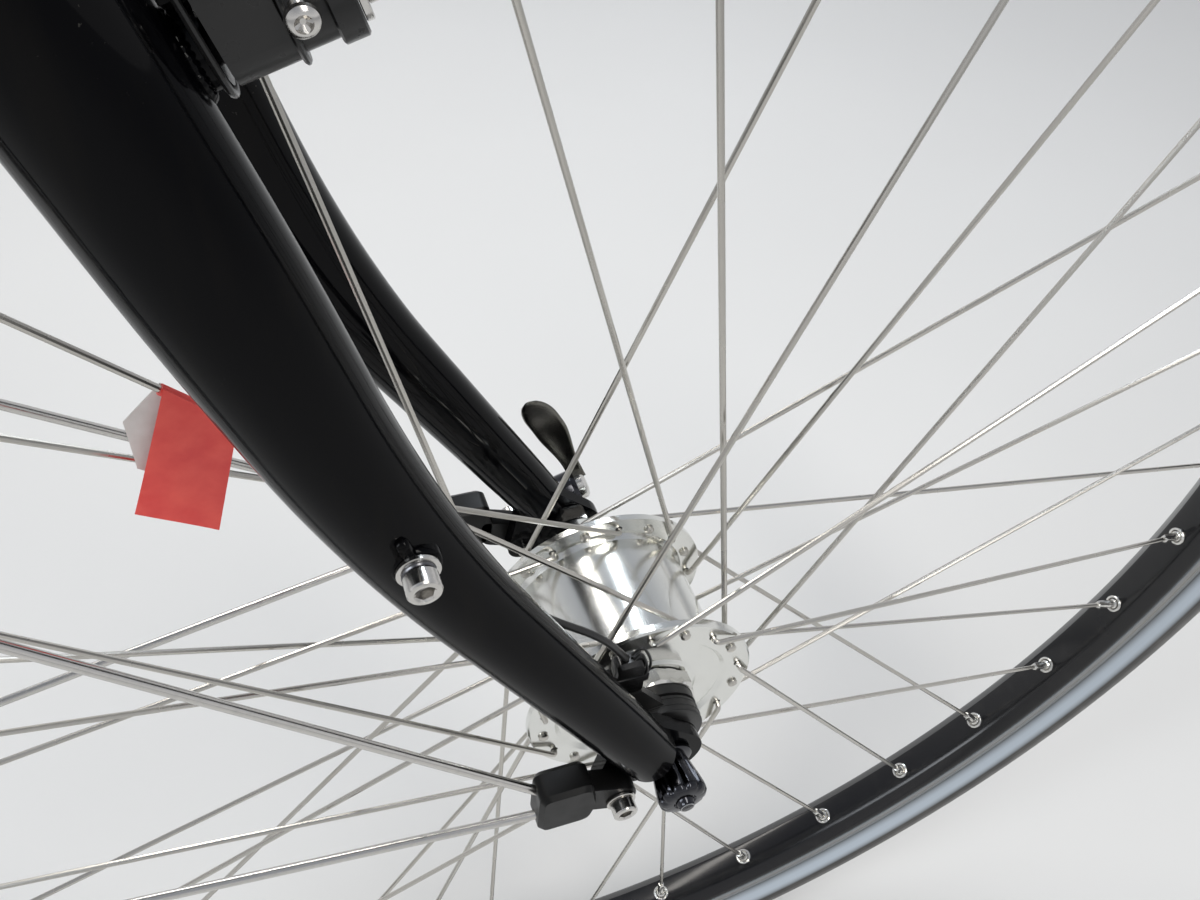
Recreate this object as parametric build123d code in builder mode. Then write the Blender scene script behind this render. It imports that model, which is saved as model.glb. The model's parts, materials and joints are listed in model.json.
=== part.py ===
from build123d import *
import math
import os

# Front fork and spoked dynamo wheel of a trekking bicycle, as real sizes in millimetres.
# +X is forward, +Y is the rider's left and +Z is up, with the fork leaning back as it does on the bicycle.
# The origin is on the steerer's axis, at the top of the crown race. Drops are measured down from there.

# Layout
HEAD_LEAN = 19.5  # lean of the steering axis back from upright, degrees
RIM_TOP_R = 317.0
TYRE_HEIGHT = 31.0  # from the rim's top edge to the tread
TYRE_R = RIM_TOP_R + TYRE_HEIGHT
CROWN_CLEARANCE = 56.0  # from the tread to the crown race
AXLE_TO_CROWN = TYRE_R + CROWN_CLEARANCE  # along the steering axis
RAKE = 35.0  # axle ahead of the steering axis
HUB_WIDTH = 100.0  # between the dropouts' inner faces
FIT_GAP = 0.05
BOLT_CLEARANCE = 0.1

# Steerer and crown
STEERER_R = 14.3
STEERER_BORE_R = 12.7
STEERER_LENGTH = 200.0
SLEEVE_R = 18.5
SLEEVE_LENGTH = 42.0
RACE_R = 20.5
RACE_HEIGHT = 6.0
RACE_SEAT_R = 15.0  # the steerer is thicker where the race sits
CROWN_BOLT_R = 3.0
CROWN_BOLT_DROP = 24.0
NUT_ACROSS_R = 5.8
NUT_HEIGHT = 5.0

# Blades, which run straight, bend forward a little and run straight again to the dropouts
BLADE_TOP_R = 16.0
BLADE_TOP_LEFT = 46.5  # sideways from the wheel's middle, at the crown bend
BLADE_TIP_OUT = 7.5  # outside the dropouts' inner faces
BLADE_TIP_LEFT = HUB_WIDTH / 2 + BLADE_TIP_OUT
CROWN_BEND_DROP = 66.0
RAKE_START_UP = 217.0  # above the axle, along the steering axis
RAKE_START_DROP = AXLE_TO_CROWN - RAKE_START_UP
RAKE_BEND_R = 500.0
RAKE_BEND_ANGLE = 11.0
# each row: height above the axle along the steering axis, blade radius
BLADE_TAPER = (
    (249.0, BLADE_TOP_R),
    (204.0, 14.6),
    (164.0, 13.2),
    (127.0, 11.9),
    (94.0, 11.2),
    (62.0, 10.6),
    (32.0, 10.1),
    (12.0, 9.4),
)
BLADE_TIP_DROP = AXLE_TO_CROWN - BLADE_TAPER[-1][0]

# Dropouts, measured from the axle: ahead, then up along the steering axis
DROPOUT_THICK = 5.5
DROPOUT_R = 13.5
DROPOUT_TANG = (-6.0, 25.0)
DROPOUT_TANG_R = 7.0
EYELET = (-20.0, 2.0)
EYELET_R = 6.0
EYELET_HOLE_R = 2.6
SLOT_GAP = 0.1

# Bosses on the blades, and the screws in the low-rider ones
LOWRIDER_UP = 172.0  # above the axle
LOWRIDER_DROP = AXLE_TO_CROWN - LOWRIDER_UP
LOWRIDER_AHEAD = 2.2  # of the blade's middle
LOWRIDER_BOSS_R = 5.5
LOWRIDER_BOSS_HEIGHT = 0.6
LOWRIDER_HOLE_R = 2.2
LOWRIDER_HOLE_DEPTH = 7.0
FLAT_WASHER = (5.6, 1.2)  # radius, thickness
SPRING_WASHER = (4.6, 1.2)
SCREW_HEAD_R = 4.25
SCREW_HEAD_HEIGHT = 5.0
SOCKET_R = 2.4  # to the hexagon's corners
SOCKET_DEPTH = 3.0
BRAKE_BOSS_UP = 289.0  # above the axle
BRAKE_BOSS_DROP = AXLE_TO_CROWN - BRAKE_BOSS_UP
BRAKE_BOSS_LEFT = 40.0
BRAKE_BOSS_R = 7.5
BRAKE_BOSS_FORE = 20.0
BRAKE_STUD_R = 4.0
BRAKE_STUD_LENGTH = 24.0
BOLT_R = 2.5

# Tyre and rim
TYRE_HALF_WIDTH = 18.5
TYRE_WALL = 3.0
TREAD_THICK = 4.5
WIDE_RISE = 0.45  # where the tyre is widest, as a share of its height
SHOULDER_OUT = 0.715  # a place on the shoulder, as shares of the half width and the height
SHOULDER_DROP = 0.15
FLARE_OUT = 0.62  # a place on the lower wall, as shares of its flare and the height
FLARE_RISE = 0.19
RIM_HALF_WIDTH = 12.3
RIM_WALL = 1.6
RIM_WELL_R = RIM_TOP_R - 6.5
RIM_SHOULDER_R = RIM_TOP_R - 13.5
RIM_BED_R = RIM_TOP_R - 18.5
RIM_BED_HALF_WIDTH = 6.5
BEAD_GAP = 0.3
BEAD_RISE = 1.5  # how far the casing runs straight above the rim

# Spokes
SPOKE_PHASE = -8.3  # angle of one right-hand hole above straight ahead, degrees
HOLES_PER_FLANGE = 18
CROSS_ANGLE = 60.0  # three crossings
SPOKE_R = 1.0
ELBOW_R = 2.4
ELBOW_CLEARANCE = 1.5
HEAD_R = 1.9
HEAD_HEIGHT = 1.2
NIPPLE_R = 1.9
NIPPLE_LENGTH = 12.0
NIPPLE_GAP = 0.35
VALVE_TURN = 155.0  # from the spokes' first hole, degrees
VALVE_NUT_R = 6.5
VALVE_NUT_HEIGHT = 3.0
VALVE_STEM_R = 4.0
VALVE_STEM_LENGTH = 26.5
VALVE_CAP_R = 4.6
VALVE_CAP_LENGTH = 10.0

# Hub
HOLE_CIRCLE_R = 37.6
SPOKE_HOLE_R = 1.4
FLANGE_R = 42.8
FLANGE_THICK = 3.0
FLANGE_EDGE = 0.7
FLANGE_RIGHT = HUB_WIDTH / 2 - 19.8  # middle of the flange, to the right of the wheel's middle
FLANGE_LEFT = HUB_WIDTH / 2 - 31.2
SHELL_R = 34.0
SHELL_ROOT_RISE = 1.2
SHELL_ROOT_WIDTH = 2.0
HUB_RIGHT_END = HUB_WIDTH / 2 - 19.0
RIGHT_RECESS_DEPTH = 1.5
RIGHT_RECESS_R = 31.5
HUB_LEFT_END = HUB_WIDTH / 2 - 4.4
LEFT_RECESS_DEPTH = 3.0
LEFT_NECK_R = 25.0
LEFT_CONE_R = 18.0
LEFT_CONE_WIDTH = 10.0
LEFT_CAP_R = 14.0
LEFT_CAP_END_R = 12.5
LEFT_CAP_WIDTH = 2.0
AXLE_R = 4.5
AXLE_BORE_R = 2.7
AXLE_END_GAP = 1.0  # inside the dropouts' outer faces
RUNNING_GAP = 0.06
NUT_GAP = 0.4
RIGHT_NUT_R = 19.8
RIGHT_NUT_SIDES = 8
RIGHT_NUT_TURN = 17.0
RIGHT_NUT_END = HUB_WIDTH / 2 - 12.5
LEFT_NUT_R = 11.5

# Dynamo connector, plug and lamp wire. The connector's tower stands upright behind the axle.
SEAL_R = 17.4
SEAL_END = HUB_WIDTH / 2 - 9.0
GROOVE_R = 15.6
GROOVE_WIDTH = 0.8
CONNECTOR_R = 17.0
CONNECTOR_END = HUB_WIDTH / 2 - 2.4
SPACER_R = 11.3
TOWER_AHEAD = -14.0
TOWER_WIDTH = 11.0
TOWER_TOP = 30.0
PLUG_TOP = 48.0
PLUG_WIDTH = 13.0
PLUG_CORNER_R = 3.0
PLUG_INNER = HUB_WIDTH / 2 - 11.4
PLUG_OUTER = HUB_WIDTH / 2 - 5.0
WIRE_R = 1.25

# Quick release
SKEWER_R = 2.5
RELEASE_NUT_TOP = HUB_WIDTH / 2 + 23.0
SKEWER_RIGHT_END = RELEASE_NUT_TOP + 2.5
RELEASE_NUT_NECK_R = 6.8
RELEASE_NUT_WIDE_R = 8.8
RELEASE_NUT_TOP_R = 7.0
RELEASE_COLLAR = (9.0, 1.8)  # radius, thickness
RELEASE_FLUTES = 10
FLUTE_R = 2.0
SEAT_GAP = 0.2
SEAT_R = 9.0
SEAT_THICK = 5.0
CAM_R = 8.0
CAM_BACK = 8.0
CAM_AHEAD = 14.0
LEVER_THICK = 3.6
LEVER_BOW = 5.0  # how far the lever's middle bows away from the wheel
LEVER_LENGTH = 58.0
# each row: ahead of the axle, up from it, radius of the lever's outline
LEVER_OUTLINE = ((12.0, 3.0, 4.0), (9.0, 34.0, 5.6), (5.6, 52.8, 5.2))

# Mudguard
GUARD_CLEARANCE = 10.5
GUARD_INNER_R = TYRE_R + GUARD_CLEARANCE
GUARD_THICK = 1.6
GUARD_HALF_WIDTH = 23.5
GUARD_EDGE_R = GUARD_INNER_R - 10.0
GUARD_FRONT_ANGLE = 88.0
GUARD_REAR_ANGLE = 203.0
FLAP_END_ANGLE = 211.0
FLAP_OVERLAP_ANGLE = 3.5
FLAP_THICK = 2.0
FLAP_SIDE_GAP = 1.0
FLAP_TOP_GAP = 0.2
STAY_R = 1.6
STAY_END_RISE = 3.0  # past the mudguard's edge
BRIDGE_THICK = 1.2
BRIDGE_GAP = 0.1
BRIDGE_SPAN_ANGLE = 1.7
# each row: where a stay starts in the clip: ahead of the axle, up from it, outside the dropout's face
STAY_STARTS = ((-46.0, 10.0, 5.5), (-48.0, 0.0, 7.0))
STAY_ANGLES = (143.0, 185.0)  # where each one ends round the mudguard

# Stay clips, measured from the axle: ahead and up
CLIP_INNER = HUB_WIDTH / 2 + DROPOUT_THICK
CLIP_EYE_R = 7.0
CLIP_EYE_THICK = 8.0
CLIP_NECK = (-33.0, 3.0)
CLIP_THICK = 11.6
CLIP_END = (-41.0, 6.0)
CLIP_END_SIZE = (18.0, 22.0)
CLIP_CHAMFER = 2.4
CLIP_GROOVE = (12.0, 1.6)  # width, depth

# Brake
ARM_FORE = 21.0
ARM_THICK = 11.0
BARREL_R = 7.2
BARREL_LENGTH = 23.0
# each row: sideways, drop, radius of the arm's outline
ARM_OUTLINE = (
    (BRAKE_BOSS_LEFT, BRAKE_BOSS_DROP, 8.0),
    (44.0, BRAKE_BOSS_DROP - 27.0, 7.2),
    (51.0, BRAKE_BOSS_DROP - 63.0, 6.2),
    (52.5, BRAKE_BOSS_DROP - 95.0, 5.6),
)
ARM_SEAT_INNER = 36.5
ARM_SEAT_OUTER = 50.5
ARM_SEAT_R = 7.5
ARM_SEAT_DEPTH = 20.0
ARM_WASHER = (6.6, 1.5)
ARM_BOLT_LENGTH = 12.0
PAD_CLEARANCE = 5.0
PAD_THICK = 10.0
PAD_LOW_R = RIM_TOP_R - 10.5
PAD_HIGH_R = RIM_TOP_R - 0.5
PAD_SPAN_ANGLE = 9.6
POST_R = 3.0
POST_FORE = 26.5
POST_DROP = AXLE_TO_CROWN - RIM_TOP_R + 5.6
POST_END = 57.5
POST_COLLAR = (6.5, 3.0)
POST_SPACER_R = 5.0
POST_CUP_THICK = 2.2
POST_WASHER_THICK = 1.2

# Lamp
LAMP_BACK = 29.0
LAMP_LENGTH = 46.0
LAMP_HEIGHT = 40.0
LAMP_WIDTH = 58.0
LAMP_WALL = 2.5
LAMP_CORNER = 0.3  # share of the height at each section
LENS_CORNER_R = 9.6
LAMP_RECESS = 8.0
LENS_BACK = 3.0
LENS_THICK = 2.6
LENS_GAP = 0.2
LAMP_FOOT_Z = 1.5
LAMP_FOOT_LENGTH = 18.0
LAMP_LIFT = 6.0
# each row: share of the lamp's length from its back, shares of its width and height there
LAMP_SECTIONS = ((0.0, 0.5, 0.55), (0.5, 0.88, 0.9), (1.0, 1.0, 1.0))
GLAND = (35.0, -11.0)
GLAND_R = 3.0
GLAND_BOTTOM_Z = 9.5
BRACKET_WIDTH = 14.0
BRACKET_THICK = 2.4
BRACKET_END = 9.0  # past the crown bolt
BRACKET_FOOT_ANGLE = 4.0  # of the mudguard that the bracket's foot covers
BRACKET_BEND_R = 6.0
BRACKET_GAP = 0.1

lean = math.radians(HEAD_LEAN)
STEER_UP = Vector(-math.sin(lean), 0, math.cos(lean))
STEER_FORE = Vector(math.cos(lean), 0, math.sin(lean))
LEFTWARD = Vector(0, 1, 0)
fork_top = Plane(origin=(0, 0, 0), x_dir=STEER_FORE, z_dir=STEER_UP)


def fork_point(fore, left, up):
    """A place given along the fork: ahead of the steering axis, to the left, and up it."""
    return fork_top.from_local_coords(Vector(fore, left, up))


HUB = fork_point(RAKE, 0, -AXLE_TO_CROWN)
fork_side = Plane(origin=(0, 0, 0), x_dir=STEER_FORE, z_dir=-LEFTWARD)
fork_front = Plane(origin=(0, 0, 0), x_dir=LEFTWARD, z_dir=STEER_FORE)
axle_side = Plane(origin=HUB, x_dir=STEER_FORE, z_dir=-LEFTWARD)
axle_front = Plane(origin=HUB, x_dir=LEFTWARD, z_dir=STEER_FORE)
wheel_side = Plane(origin=HUB, x_dir=(1, 0, 0), z_dir=-LEFTWARD)
SPIN = Axis(HUB, -LEFTWARD)
SIDES = (("right", -1), ("left", 1))


def wheel_cut(angle):
    """The plane through the axle at an angle up from straight ahead: local x is left, y is outward."""
    a = math.radians(angle)
    return Plane(origin=HUB, x_dir=LEFTWARD, z_dir=(math.sin(a), 0, -math.cos(a)))


def wheel_angle(ahead, up):
    """The angle round the wheel of a place given from the axle along the fork's own directions."""
    return 90 + HEAD_LEAN - math.degrees(math.atan2(ahead, up))


def turned(corners, start=90.0, arc=360.0):
    """Spins a closed outline of (left, radius) corners about the axle."""
    with BuildSketch(wheel_cut(start)) as outline:
        with BuildLine():
            Polyline(*corners, close=True)
        make_face()
    revolve(outline.sketch, axis=SPIN, revolution_arc=arc)


def axle_disc(radius, left_from, left_to, mode=Mode.ADD):
    """A round bar on the axle, between two places to the left of the wheel's middle."""
    with BuildSketch(wheel_side.offset(-left_to)) as disc:
        Circle(radius)
    extrude(disc.sketch, amount=left_to - left_from, mode=mode)


def bar(face, radius, length, mode=Mode.ADD):
    """A round bar that stands on a plane, or goes behind it where the length is negative."""
    with BuildSketch(face) as disc:
        Circle(radius)
    extrude(disc.sketch, amount=length, mode=mode)


def socket_screw(face, shank_r, shank_length):
    """A screw whose head stands on a plane, with a hexagon socket, and its shank behind the plane."""
    bar(face, SCREW_HEAD_R, SCREW_HEAD_HEIGHT)
    bar(face, shank_r, -shank_length)
    with BuildSketch(face.offset(SCREW_HEAD_HEIGHT)) as socket:
        RegularPolygon(SOCKET_R, 6)
    extrude(socket.sketch, amount=-SOCKET_DEPTH, mode=Mode.SUBTRACT)


def keep(piece, label):
    """Names a finished piece and writes its file."""
    piece.part.label = label
    export_step(piece.part, f"parts/{label}.step")


os.makedirs("parts", exist_ok=True)


# Steerer with the sleeve that the blades are welded to
bolt_through = fork_front.shift_origin(fork_point(0, 0, -CROWN_BOLT_DROP))
with BuildPart() as steerer:
    bar(fork_top.offset(-SLEEVE_LENGTH), SLEEVE_R, SLEEVE_LENGTH - RACE_HEIGHT)
    bar(fork_top.offset(-RACE_HEIGHT), RACE_SEAT_R, RACE_HEIGHT)
    bar(fork_top, STEERER_R, STEERER_LENGTH)
    bar(fork_top.offset(-SLEEVE_LENGTH), STEERER_BORE_R, SLEEVE_LENGTH + STEERER_LENGTH, mode=Mode.SUBTRACT)
    bar(bolt_through.offset(-SLEEVE_R), CROWN_BOLT_R + BOLT_CLEARANCE, 2 * SLEEVE_R, mode=Mode.SUBTRACT)
keep(steerer, "steerer")

with BuildPart() as crown_race:
    bar(fork_top.offset(-RACE_HEIGHT), RACE_R, RACE_HEIGHT)
    bar(fork_top.offset(-RACE_HEIGHT), RACE_SEAT_R + FIT_GAP, RACE_HEIGHT, mode=Mode.SUBTRACT)
    chamfer(crown_race.faces().sort_by(Axis(HUB, STEER_UP))[-1].outer_wire().edges(), RACE_HEIGHT / 2)
keep(crown_race, "crown_race")


# Blades
rake_turn = math.radians(RAKE_BEND_ANGLE)
rake_run = RAKE_BEND_R * math.sin(rake_turn)


def blade_centre(drop, sign):
    """The blade's middle at a drop, and its direction there."""
    bent = min(max(0.0, drop - RAKE_START_DROP), rake_run)
    turn = math.asin(bent / RAKE_BEND_R)
    fore = RAKE_BEND_R * (1 - math.cos(turn))
    fore += max(0.0, drop - RAKE_START_DROP - rake_run) * math.tan(rake_turn)
    share = (drop - CROWN_BEND_DROP) / (BLADE_TIP_DROP - CROWN_BEND_DROP)
    left = BLADE_TOP_LEFT + (BLADE_TIP_LEFT - BLADE_TOP_LEFT) * share
    direction = STEER_FORE * math.sin(turn) - STEER_UP * math.cos(turn)
    return fork_point(fore, sign * left, -drop), direction


def blade_ring(drop, radius, sign):
    """One round section of a blade."""
    middle, direction = blade_centre(drop, sign)
    with BuildSketch(Plane(origin=middle, x_dir=LEFTWARD, z_dir=direction)) as ring:
        Circle(radius)
    return ring.sketch


def blade_radius(drop):
    """The blade's radius at a drop, between the rows of its taper."""
    above_axle = AXLE_TO_CROWN - drop
    for (high, wide), (low, narrow) in zip(BLADE_TAPER, BLADE_TAPER[1:]):
        if above_axle >= low:
            return wide + (narrow - wide) * (high - above_axle) / (high - low)
    return BLADE_TAPER[-1][1]


for side, sign in SIDES:
    outward = LEFTWARD * sign
    right_face = -sign * HUB_WIDTH / 2 + (DROPOUT_THICK if sign < 0 else 0)
    lowrider, _ = blade_centre(LOWRIDER_DROP, sign)
    lowrider += STEER_FORE * LOWRIDER_AHEAD
    lowrider_side = Plane(origin=lowrider, x_dir=STEER_FORE, z_dir=outward)
    screw_face = lowrider_side.offset(blade_radius(LOWRIDER_DROP) + LOWRIDER_BOSS_HEIGHT)
    brake_boss = fork_front.shift_origin(fork_point(0, sign * BRAKE_BOSS_LEFT, -BRAKE_BOSS_DROP))
    stud_end = brake_boss.offset(BRAKE_BOSS_FORE + BRAKE_STUD_LENGTH)
    with BuildPart() as fork_blade:
        taper = [blade_ring(AXLE_TO_CROWN - height, radius, sign) for height, radius in BLADE_TAPER]
        loft([blade_ring(CROWN_BEND_DROP, BLADE_TOP_R, sign), taper[0]], ruled=True)
        loft(taper)
        with BuildSketch(fork_top.offset(-CROWN_BEND_DROP)):
            with Locations((0, sign * BLADE_TOP_LEFT)):
                Circle(BLADE_TOP_R)
        revolve(axis=Axis(fork_point(0, 0, -CROWN_BEND_DROP), STEER_FORE * sign), revolution_arc=90)
        bar(fork_top.offset(-AXLE_TO_CROWN), SLEEVE_R, AXLE_TO_CROWN + SLEEVE_LENGTH, mode=Mode.SUBTRACT)
        with BuildSketch(axle_side.offset(right_face)) as dropout:
            Circle(DROPOUT_R)
            with Locations(DROPOUT_TANG):
                Circle(DROPOUT_TANG_R)
            with Locations(EYELET):
                Circle(EYELET_R)
            make_hull()
        extrude(dropout.sketch, amount=-DROPOUT_THICK)
        bar(brake_boss, BRAKE_BOSS_R, BRAKE_BOSS_FORE)
        bar(stud_end, BRAKE_STUD_R, -BRAKE_STUD_LENGTH)
        bar(stud_end, BOLT_R, -BRAKE_STUD_LENGTH, mode=Mode.SUBTRACT)
        bar(screw_face, LOWRIDER_BOSS_R, -blade_radius(LOWRIDER_DROP))
        bar(screw_face, LOWRIDER_HOLE_R, -LOWRIDER_HOLE_DEPTH, mode=Mode.SUBTRACT)
        with BuildSketch(axle_side.offset(right_face)) as openings:
            Circle(AXLE_R + SLOT_GAP)
            with Locations((0, -DROPOUT_R)):
                Rectangle(2 * (AXLE_R + SLOT_GAP), 2 * DROPOUT_R)
            with Locations(EYELET):
                Circle(EYELET_HOLE_R)
        extrude(openings.sketch, amount=-DROPOUT_THICK, mode=Mode.SUBTRACT)
    keep(fork_blade, f"fork_blade_{side}")

    # Socket-head screw with a flat and a spring washer in the blade's boss
    with BuildPart() as blade_screw:
        stack = 0.0
        for radius, thick in (FLAT_WASHER, SPRING_WASHER):
            bar(screw_face.offset(stack), radius, thick)
            stack += thick
        shank = stack + LOWRIDER_HOLE_DEPTH - FIT_GAP
        socket_screw(screw_face.offset(stack), LOWRIDER_HOLE_R - FIT_GAP, shank)
    keep(blade_screw, f"blade_screw_{side}")


# Brake arms on their pivots, with pads and posts, opened clear of the rim
pad_angle = wheel_angle(POST_FORE - RAKE, AXLE_TO_CROWN - POST_DROP)
pad_inner = RIM_HALF_WIDTH + PAD_CLEARANCE
pad_outer = pad_inner + PAD_THICK
for side, sign in SIDES:
    post_side = Plane(origin=fork_point(POST_FORE, 0, -POST_DROP), x_dir=STEER_FORE, z_dir=LEFTWARD * sign)
    pivot = fork_front.shift_origin(fork_point(0, sign * BRAKE_BOSS_LEFT, -BRAKE_BOSS_DROP))
    with BuildPart() as brake_arm:
        for low, high in zip(ARM_OUTLINE, ARM_OUTLINE[1:]):
            with BuildSketch(fork_front.offset(ARM_FORE)) as limb:
                for left, drop, radius in (low, high):
                    with Locations((sign * left, -drop)):
                        Circle(radius)
                make_hull()
            extrude(limb.sketch, amount=ARM_THICK)
        bar(pivot.offset(ARM_FORE), BARREL_R, BARREL_LENGTH)
        bar(pivot.offset(ARM_FORE), BRAKE_STUD_R + FIT_GAP, BARREL_LENGTH, mode=Mode.SUBTRACT)
        bar(post_side, POST_R + BOLT_CLEARANCE, ARM_SEAT_OUTER + ARM_SEAT_DEPTH, mode=Mode.SUBTRACT)
        bar(post_side.offset(ARM_SEAT_INNER), ARM_SEAT_R, -ARM_SEAT_DEPTH, mode=Mode.SUBTRACT)
        bar(post_side.offset(ARM_SEAT_OUTER), ARM_SEAT_R, ARM_SEAT_DEPTH, mode=Mode.SUBTRACT)
    keep(brake_arm, f"brake_arm_{side}")

    with BuildPart() as brake_pad:
        inner, outer = sorted((sign * pad_inner, sign * pad_outer))
        turned(
            ((inner, PAD_LOW_R), (outer, PAD_LOW_R), (outer, PAD_HIGH_R), (inner, PAD_HIGH_R)),
            pad_angle - PAD_SPAN_ANGLE / 2,
            PAD_SPAN_ANGLE,
        )
    keep(brake_pad, f"brake_pad_{side}")

    with BuildPart() as pad_post:
        collar_r, collar_height = POST_COLLAR
        bar(post_side.offset(pad_outer), POST_R, POST_END - pad_outer)
        bar(post_side.offset(pad_outer), collar_r, collar_height)
        spacer_low = pad_outer + collar_height
        bar(post_side.offset(spacer_low), POST_SPACER_R, ARM_SEAT_INNER - spacer_low)
        bar(post_side.offset(ARM_SEAT_INNER), collar_r, -POST_CUP_THICK)
        bar(post_side.offset(ARM_SEAT_OUTER), collar_r, POST_WASHER_THICK)
        with BuildSketch(post_side.offset(ARM_SEAT_OUTER + POST_WASHER_THICK)) as nut:
            RegularPolygon(NUT_ACROSS_R, 6)
        extrude(nut.sketch, amount=NUT_HEIGHT)
    keep(pad_post, f"pad_post_{side}")

    with BuildPart() as arm_bolt:
        washer_r, washer_thick = ARM_WASHER
        bolt_seat = pivot.offset(ARM_FORE + BARREL_LENGTH + FIT_GAP)
        bar(bolt_seat, washer_r, washer_thick)
        socket_screw(bolt_seat.offset(washer_thick), BOLT_R - FIT_GAP, ARM_BOLT_LENGTH)
    keep(arm_bolt, f"arm_bolt_{side}")


# Fixed parts on the wheel's axle
axle_half_length = HUB_WIDTH / 2 + DROPOUT_THICK - AXLE_END_GAP
with BuildPart() as hub_axle:
    axle_disc(AXLE_R, -axle_half_length, axle_half_length)
    axle_disc(AXLE_BORE_R, -axle_half_length, axle_half_length, mode=Mode.SUBTRACT)
keep(hub_axle, "hub_axle")

with BuildPart() as hub_nut_right:
    with BuildSketch(axle_side.offset(HUB_RIGHT_END + NUT_GAP)):
        RegularPolygon(RIGHT_NUT_R, RIGHT_NUT_SIDES, rotation=RIGHT_NUT_TURN)
    extrude(amount=RIGHT_NUT_END - HUB_RIGHT_END - NUT_GAP)
    axle_disc(AXLE_R + FIT_GAP, -RIGHT_NUT_END, -HUB_RIGHT_END, mode=Mode.SUBTRACT)
keep(hub_nut_right, "hub_nut_right")

with BuildPart() as hub_nut_left:
    with BuildSketch(wheel_side.offset(-HUB_WIDTH / 2)):
        RegularPolygon(LEFT_NUT_R, 6)
    extrude(amount=HUB_WIDTH / 2 - HUB_LEFT_END - NUT_GAP)
    axle_disc(AXLE_R + FIT_GAP, HUB_LEFT_END, HUB_WIDTH / 2, mode=Mode.SUBTRACT)
keep(hub_nut_left, "hub_nut_left")

with BuildPart() as dynamo_connector:
    axle_disc(SEAL_R, -SEAL_END, -RIGHT_NUT_END)
    axle_disc(GROOVE_R, -SEAL_END - GROOVE_WIDTH, -SEAL_END)
    axle_disc(CONNECTOR_R, -CONNECTOR_END, -SEAL_END - GROOVE_WIDTH)
    axle_disc(SPACER_R, -HUB_WIDTH / 2, -CONNECTOR_END)
    with BuildSketch(wheel_side.offset(SEAL_END + GROOVE_WIDTH)):
        with Locations((TOWER_AHEAD, TOWER_TOP - TOWER_WIDTH / 2)):
            Rectangle(TOWER_WIDTH, TOWER_WIDTH)
        Circle(TOWER_WIDTH)
        make_hull()
    extrude(amount=PLUG_OUTER - SEAL_END - GROOVE_WIDTH)
    axle_disc(AXLE_R + FIT_GAP, -HUB_WIDTH / 2, -RIGHT_NUT_END, mode=Mode.SUBTRACT)
keep(dynamo_connector, "dynamo_connector")

with BuildPart() as dynamo_plug:
    with BuildSketch(wheel_side.offset(PLUG_INNER)):
        with Locations((TOWER_AHEAD, (TOWER_TOP + PLUG_TOP) / 2)):
            RectangleRounded(PLUG_WIDTH, PLUG_TOP - TOWER_TOP, PLUG_CORNER_R)
    extrude(amount=PLUG_OUTER - PLUG_INNER)
keep(dynamo_plug, "dynamo_plug")

with BuildPart() as skewer:
    axle_disc(SKEWER_R, -SKEWER_RIGHT_END, CLIP_INNER + SEAT_THICK)
keep(skewer, "skewer")

collar_r, collar_thick = RELEASE_COLLAR
nut_base = CLIP_INNER + SEAT_GAP
with BuildPart() as release_nut:
    with BuildSketch(wheel_cut(90)):
        with BuildLine():
            Polyline(
                (-nut_base, SKEWER_R + FIT_GAP),
                (-nut_base, collar_r),
                (-nut_base - collar_thick, collar_r),
                (-nut_base - collar_thick, RELEASE_NUT_NECK_R),
                (-RELEASE_NUT_TOP + 3 * collar_thick / 2, RELEASE_NUT_WIDE_R),
                (-RELEASE_NUT_TOP, RELEASE_NUT_TOP_R),
                (-RELEASE_NUT_TOP, SKEWER_R + FIT_GAP),
                close=True,
            )
        make_face()
    revolve(axis=SPIN)
    with BuildSketch(wheel_side.offset(RELEASE_NUT_TOP)):
        with PolarLocations(RELEASE_NUT_WIDE_R + FLUTE_R / 2, RELEASE_FLUTES):
            Circle(FLUTE_R)
    extrude(amount=-(RELEASE_NUT_TOP - nut_base - collar_thick), mode=Mode.SUBTRACT)
keep(release_nut, "release_nut")

with BuildPart() as release_seat:
    axle_disc(SEAT_R, CLIP_INNER + SEAT_GAP, CLIP_INNER + SEAT_THICK)
    axle_disc(SKEWER_R + FIT_GAP, CLIP_INNER, CLIP_INNER + SEAT_THICK, mode=Mode.SUBTRACT)
keep(release_seat, "release_seat")

# The lever is a bowed strip cut to its outline, on a cam that lies across the skewer
cam_left = CLIP_INNER + SEAT_THICK + CAM_R + SEAT_GAP
with BuildPart() as release_lever:
    with BuildSketch(axle_front.offset(-CAM_BACK)):
        with BuildLine():
            ThreePointArc(
                (cam_left, 0), (cam_left + LEVER_BOW, LEVER_LENGTH / 2), (cam_left, LEVER_LENGTH)
            )
            Line((cam_left, LEVER_LENGTH), (cam_left + LEVER_THICK, LEVER_LENGTH))
            ThreePointArc(
                (cam_left + LEVER_THICK, LEVER_LENGTH),
                (cam_left + LEVER_THICK + LEVER_BOW, LEVER_LENGTH / 2),
                (cam_left + LEVER_THICK, 0),
            )
            Line((cam_left + LEVER_THICK, 0), (cam_left, 0))
        make_face()
    extrude(amount=CAM_BACK + CAM_AHEAD + CAM_R)
    with BuildSketch(axle_side.offset(-cam_left - LEVER_THICK - 2 * LEVER_BOW)):
        for ahead, up, radius in LEVER_OUTLINE:
            with Locations((ahead, up)):
                Circle(radius)
        make_hull()
    extrude(amount=LEVER_THICK + 4 * LEVER_BOW, mode=Mode.INTERSECT)
    cam_back = axle_front.shift_origin(HUB + LEFTWARD * cam_left).offset(-CAM_BACK)
    bar(cam_back, CAM_R, CAM_BACK + CAM_AHEAD)
keep(release_lever, "release_lever")


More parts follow.
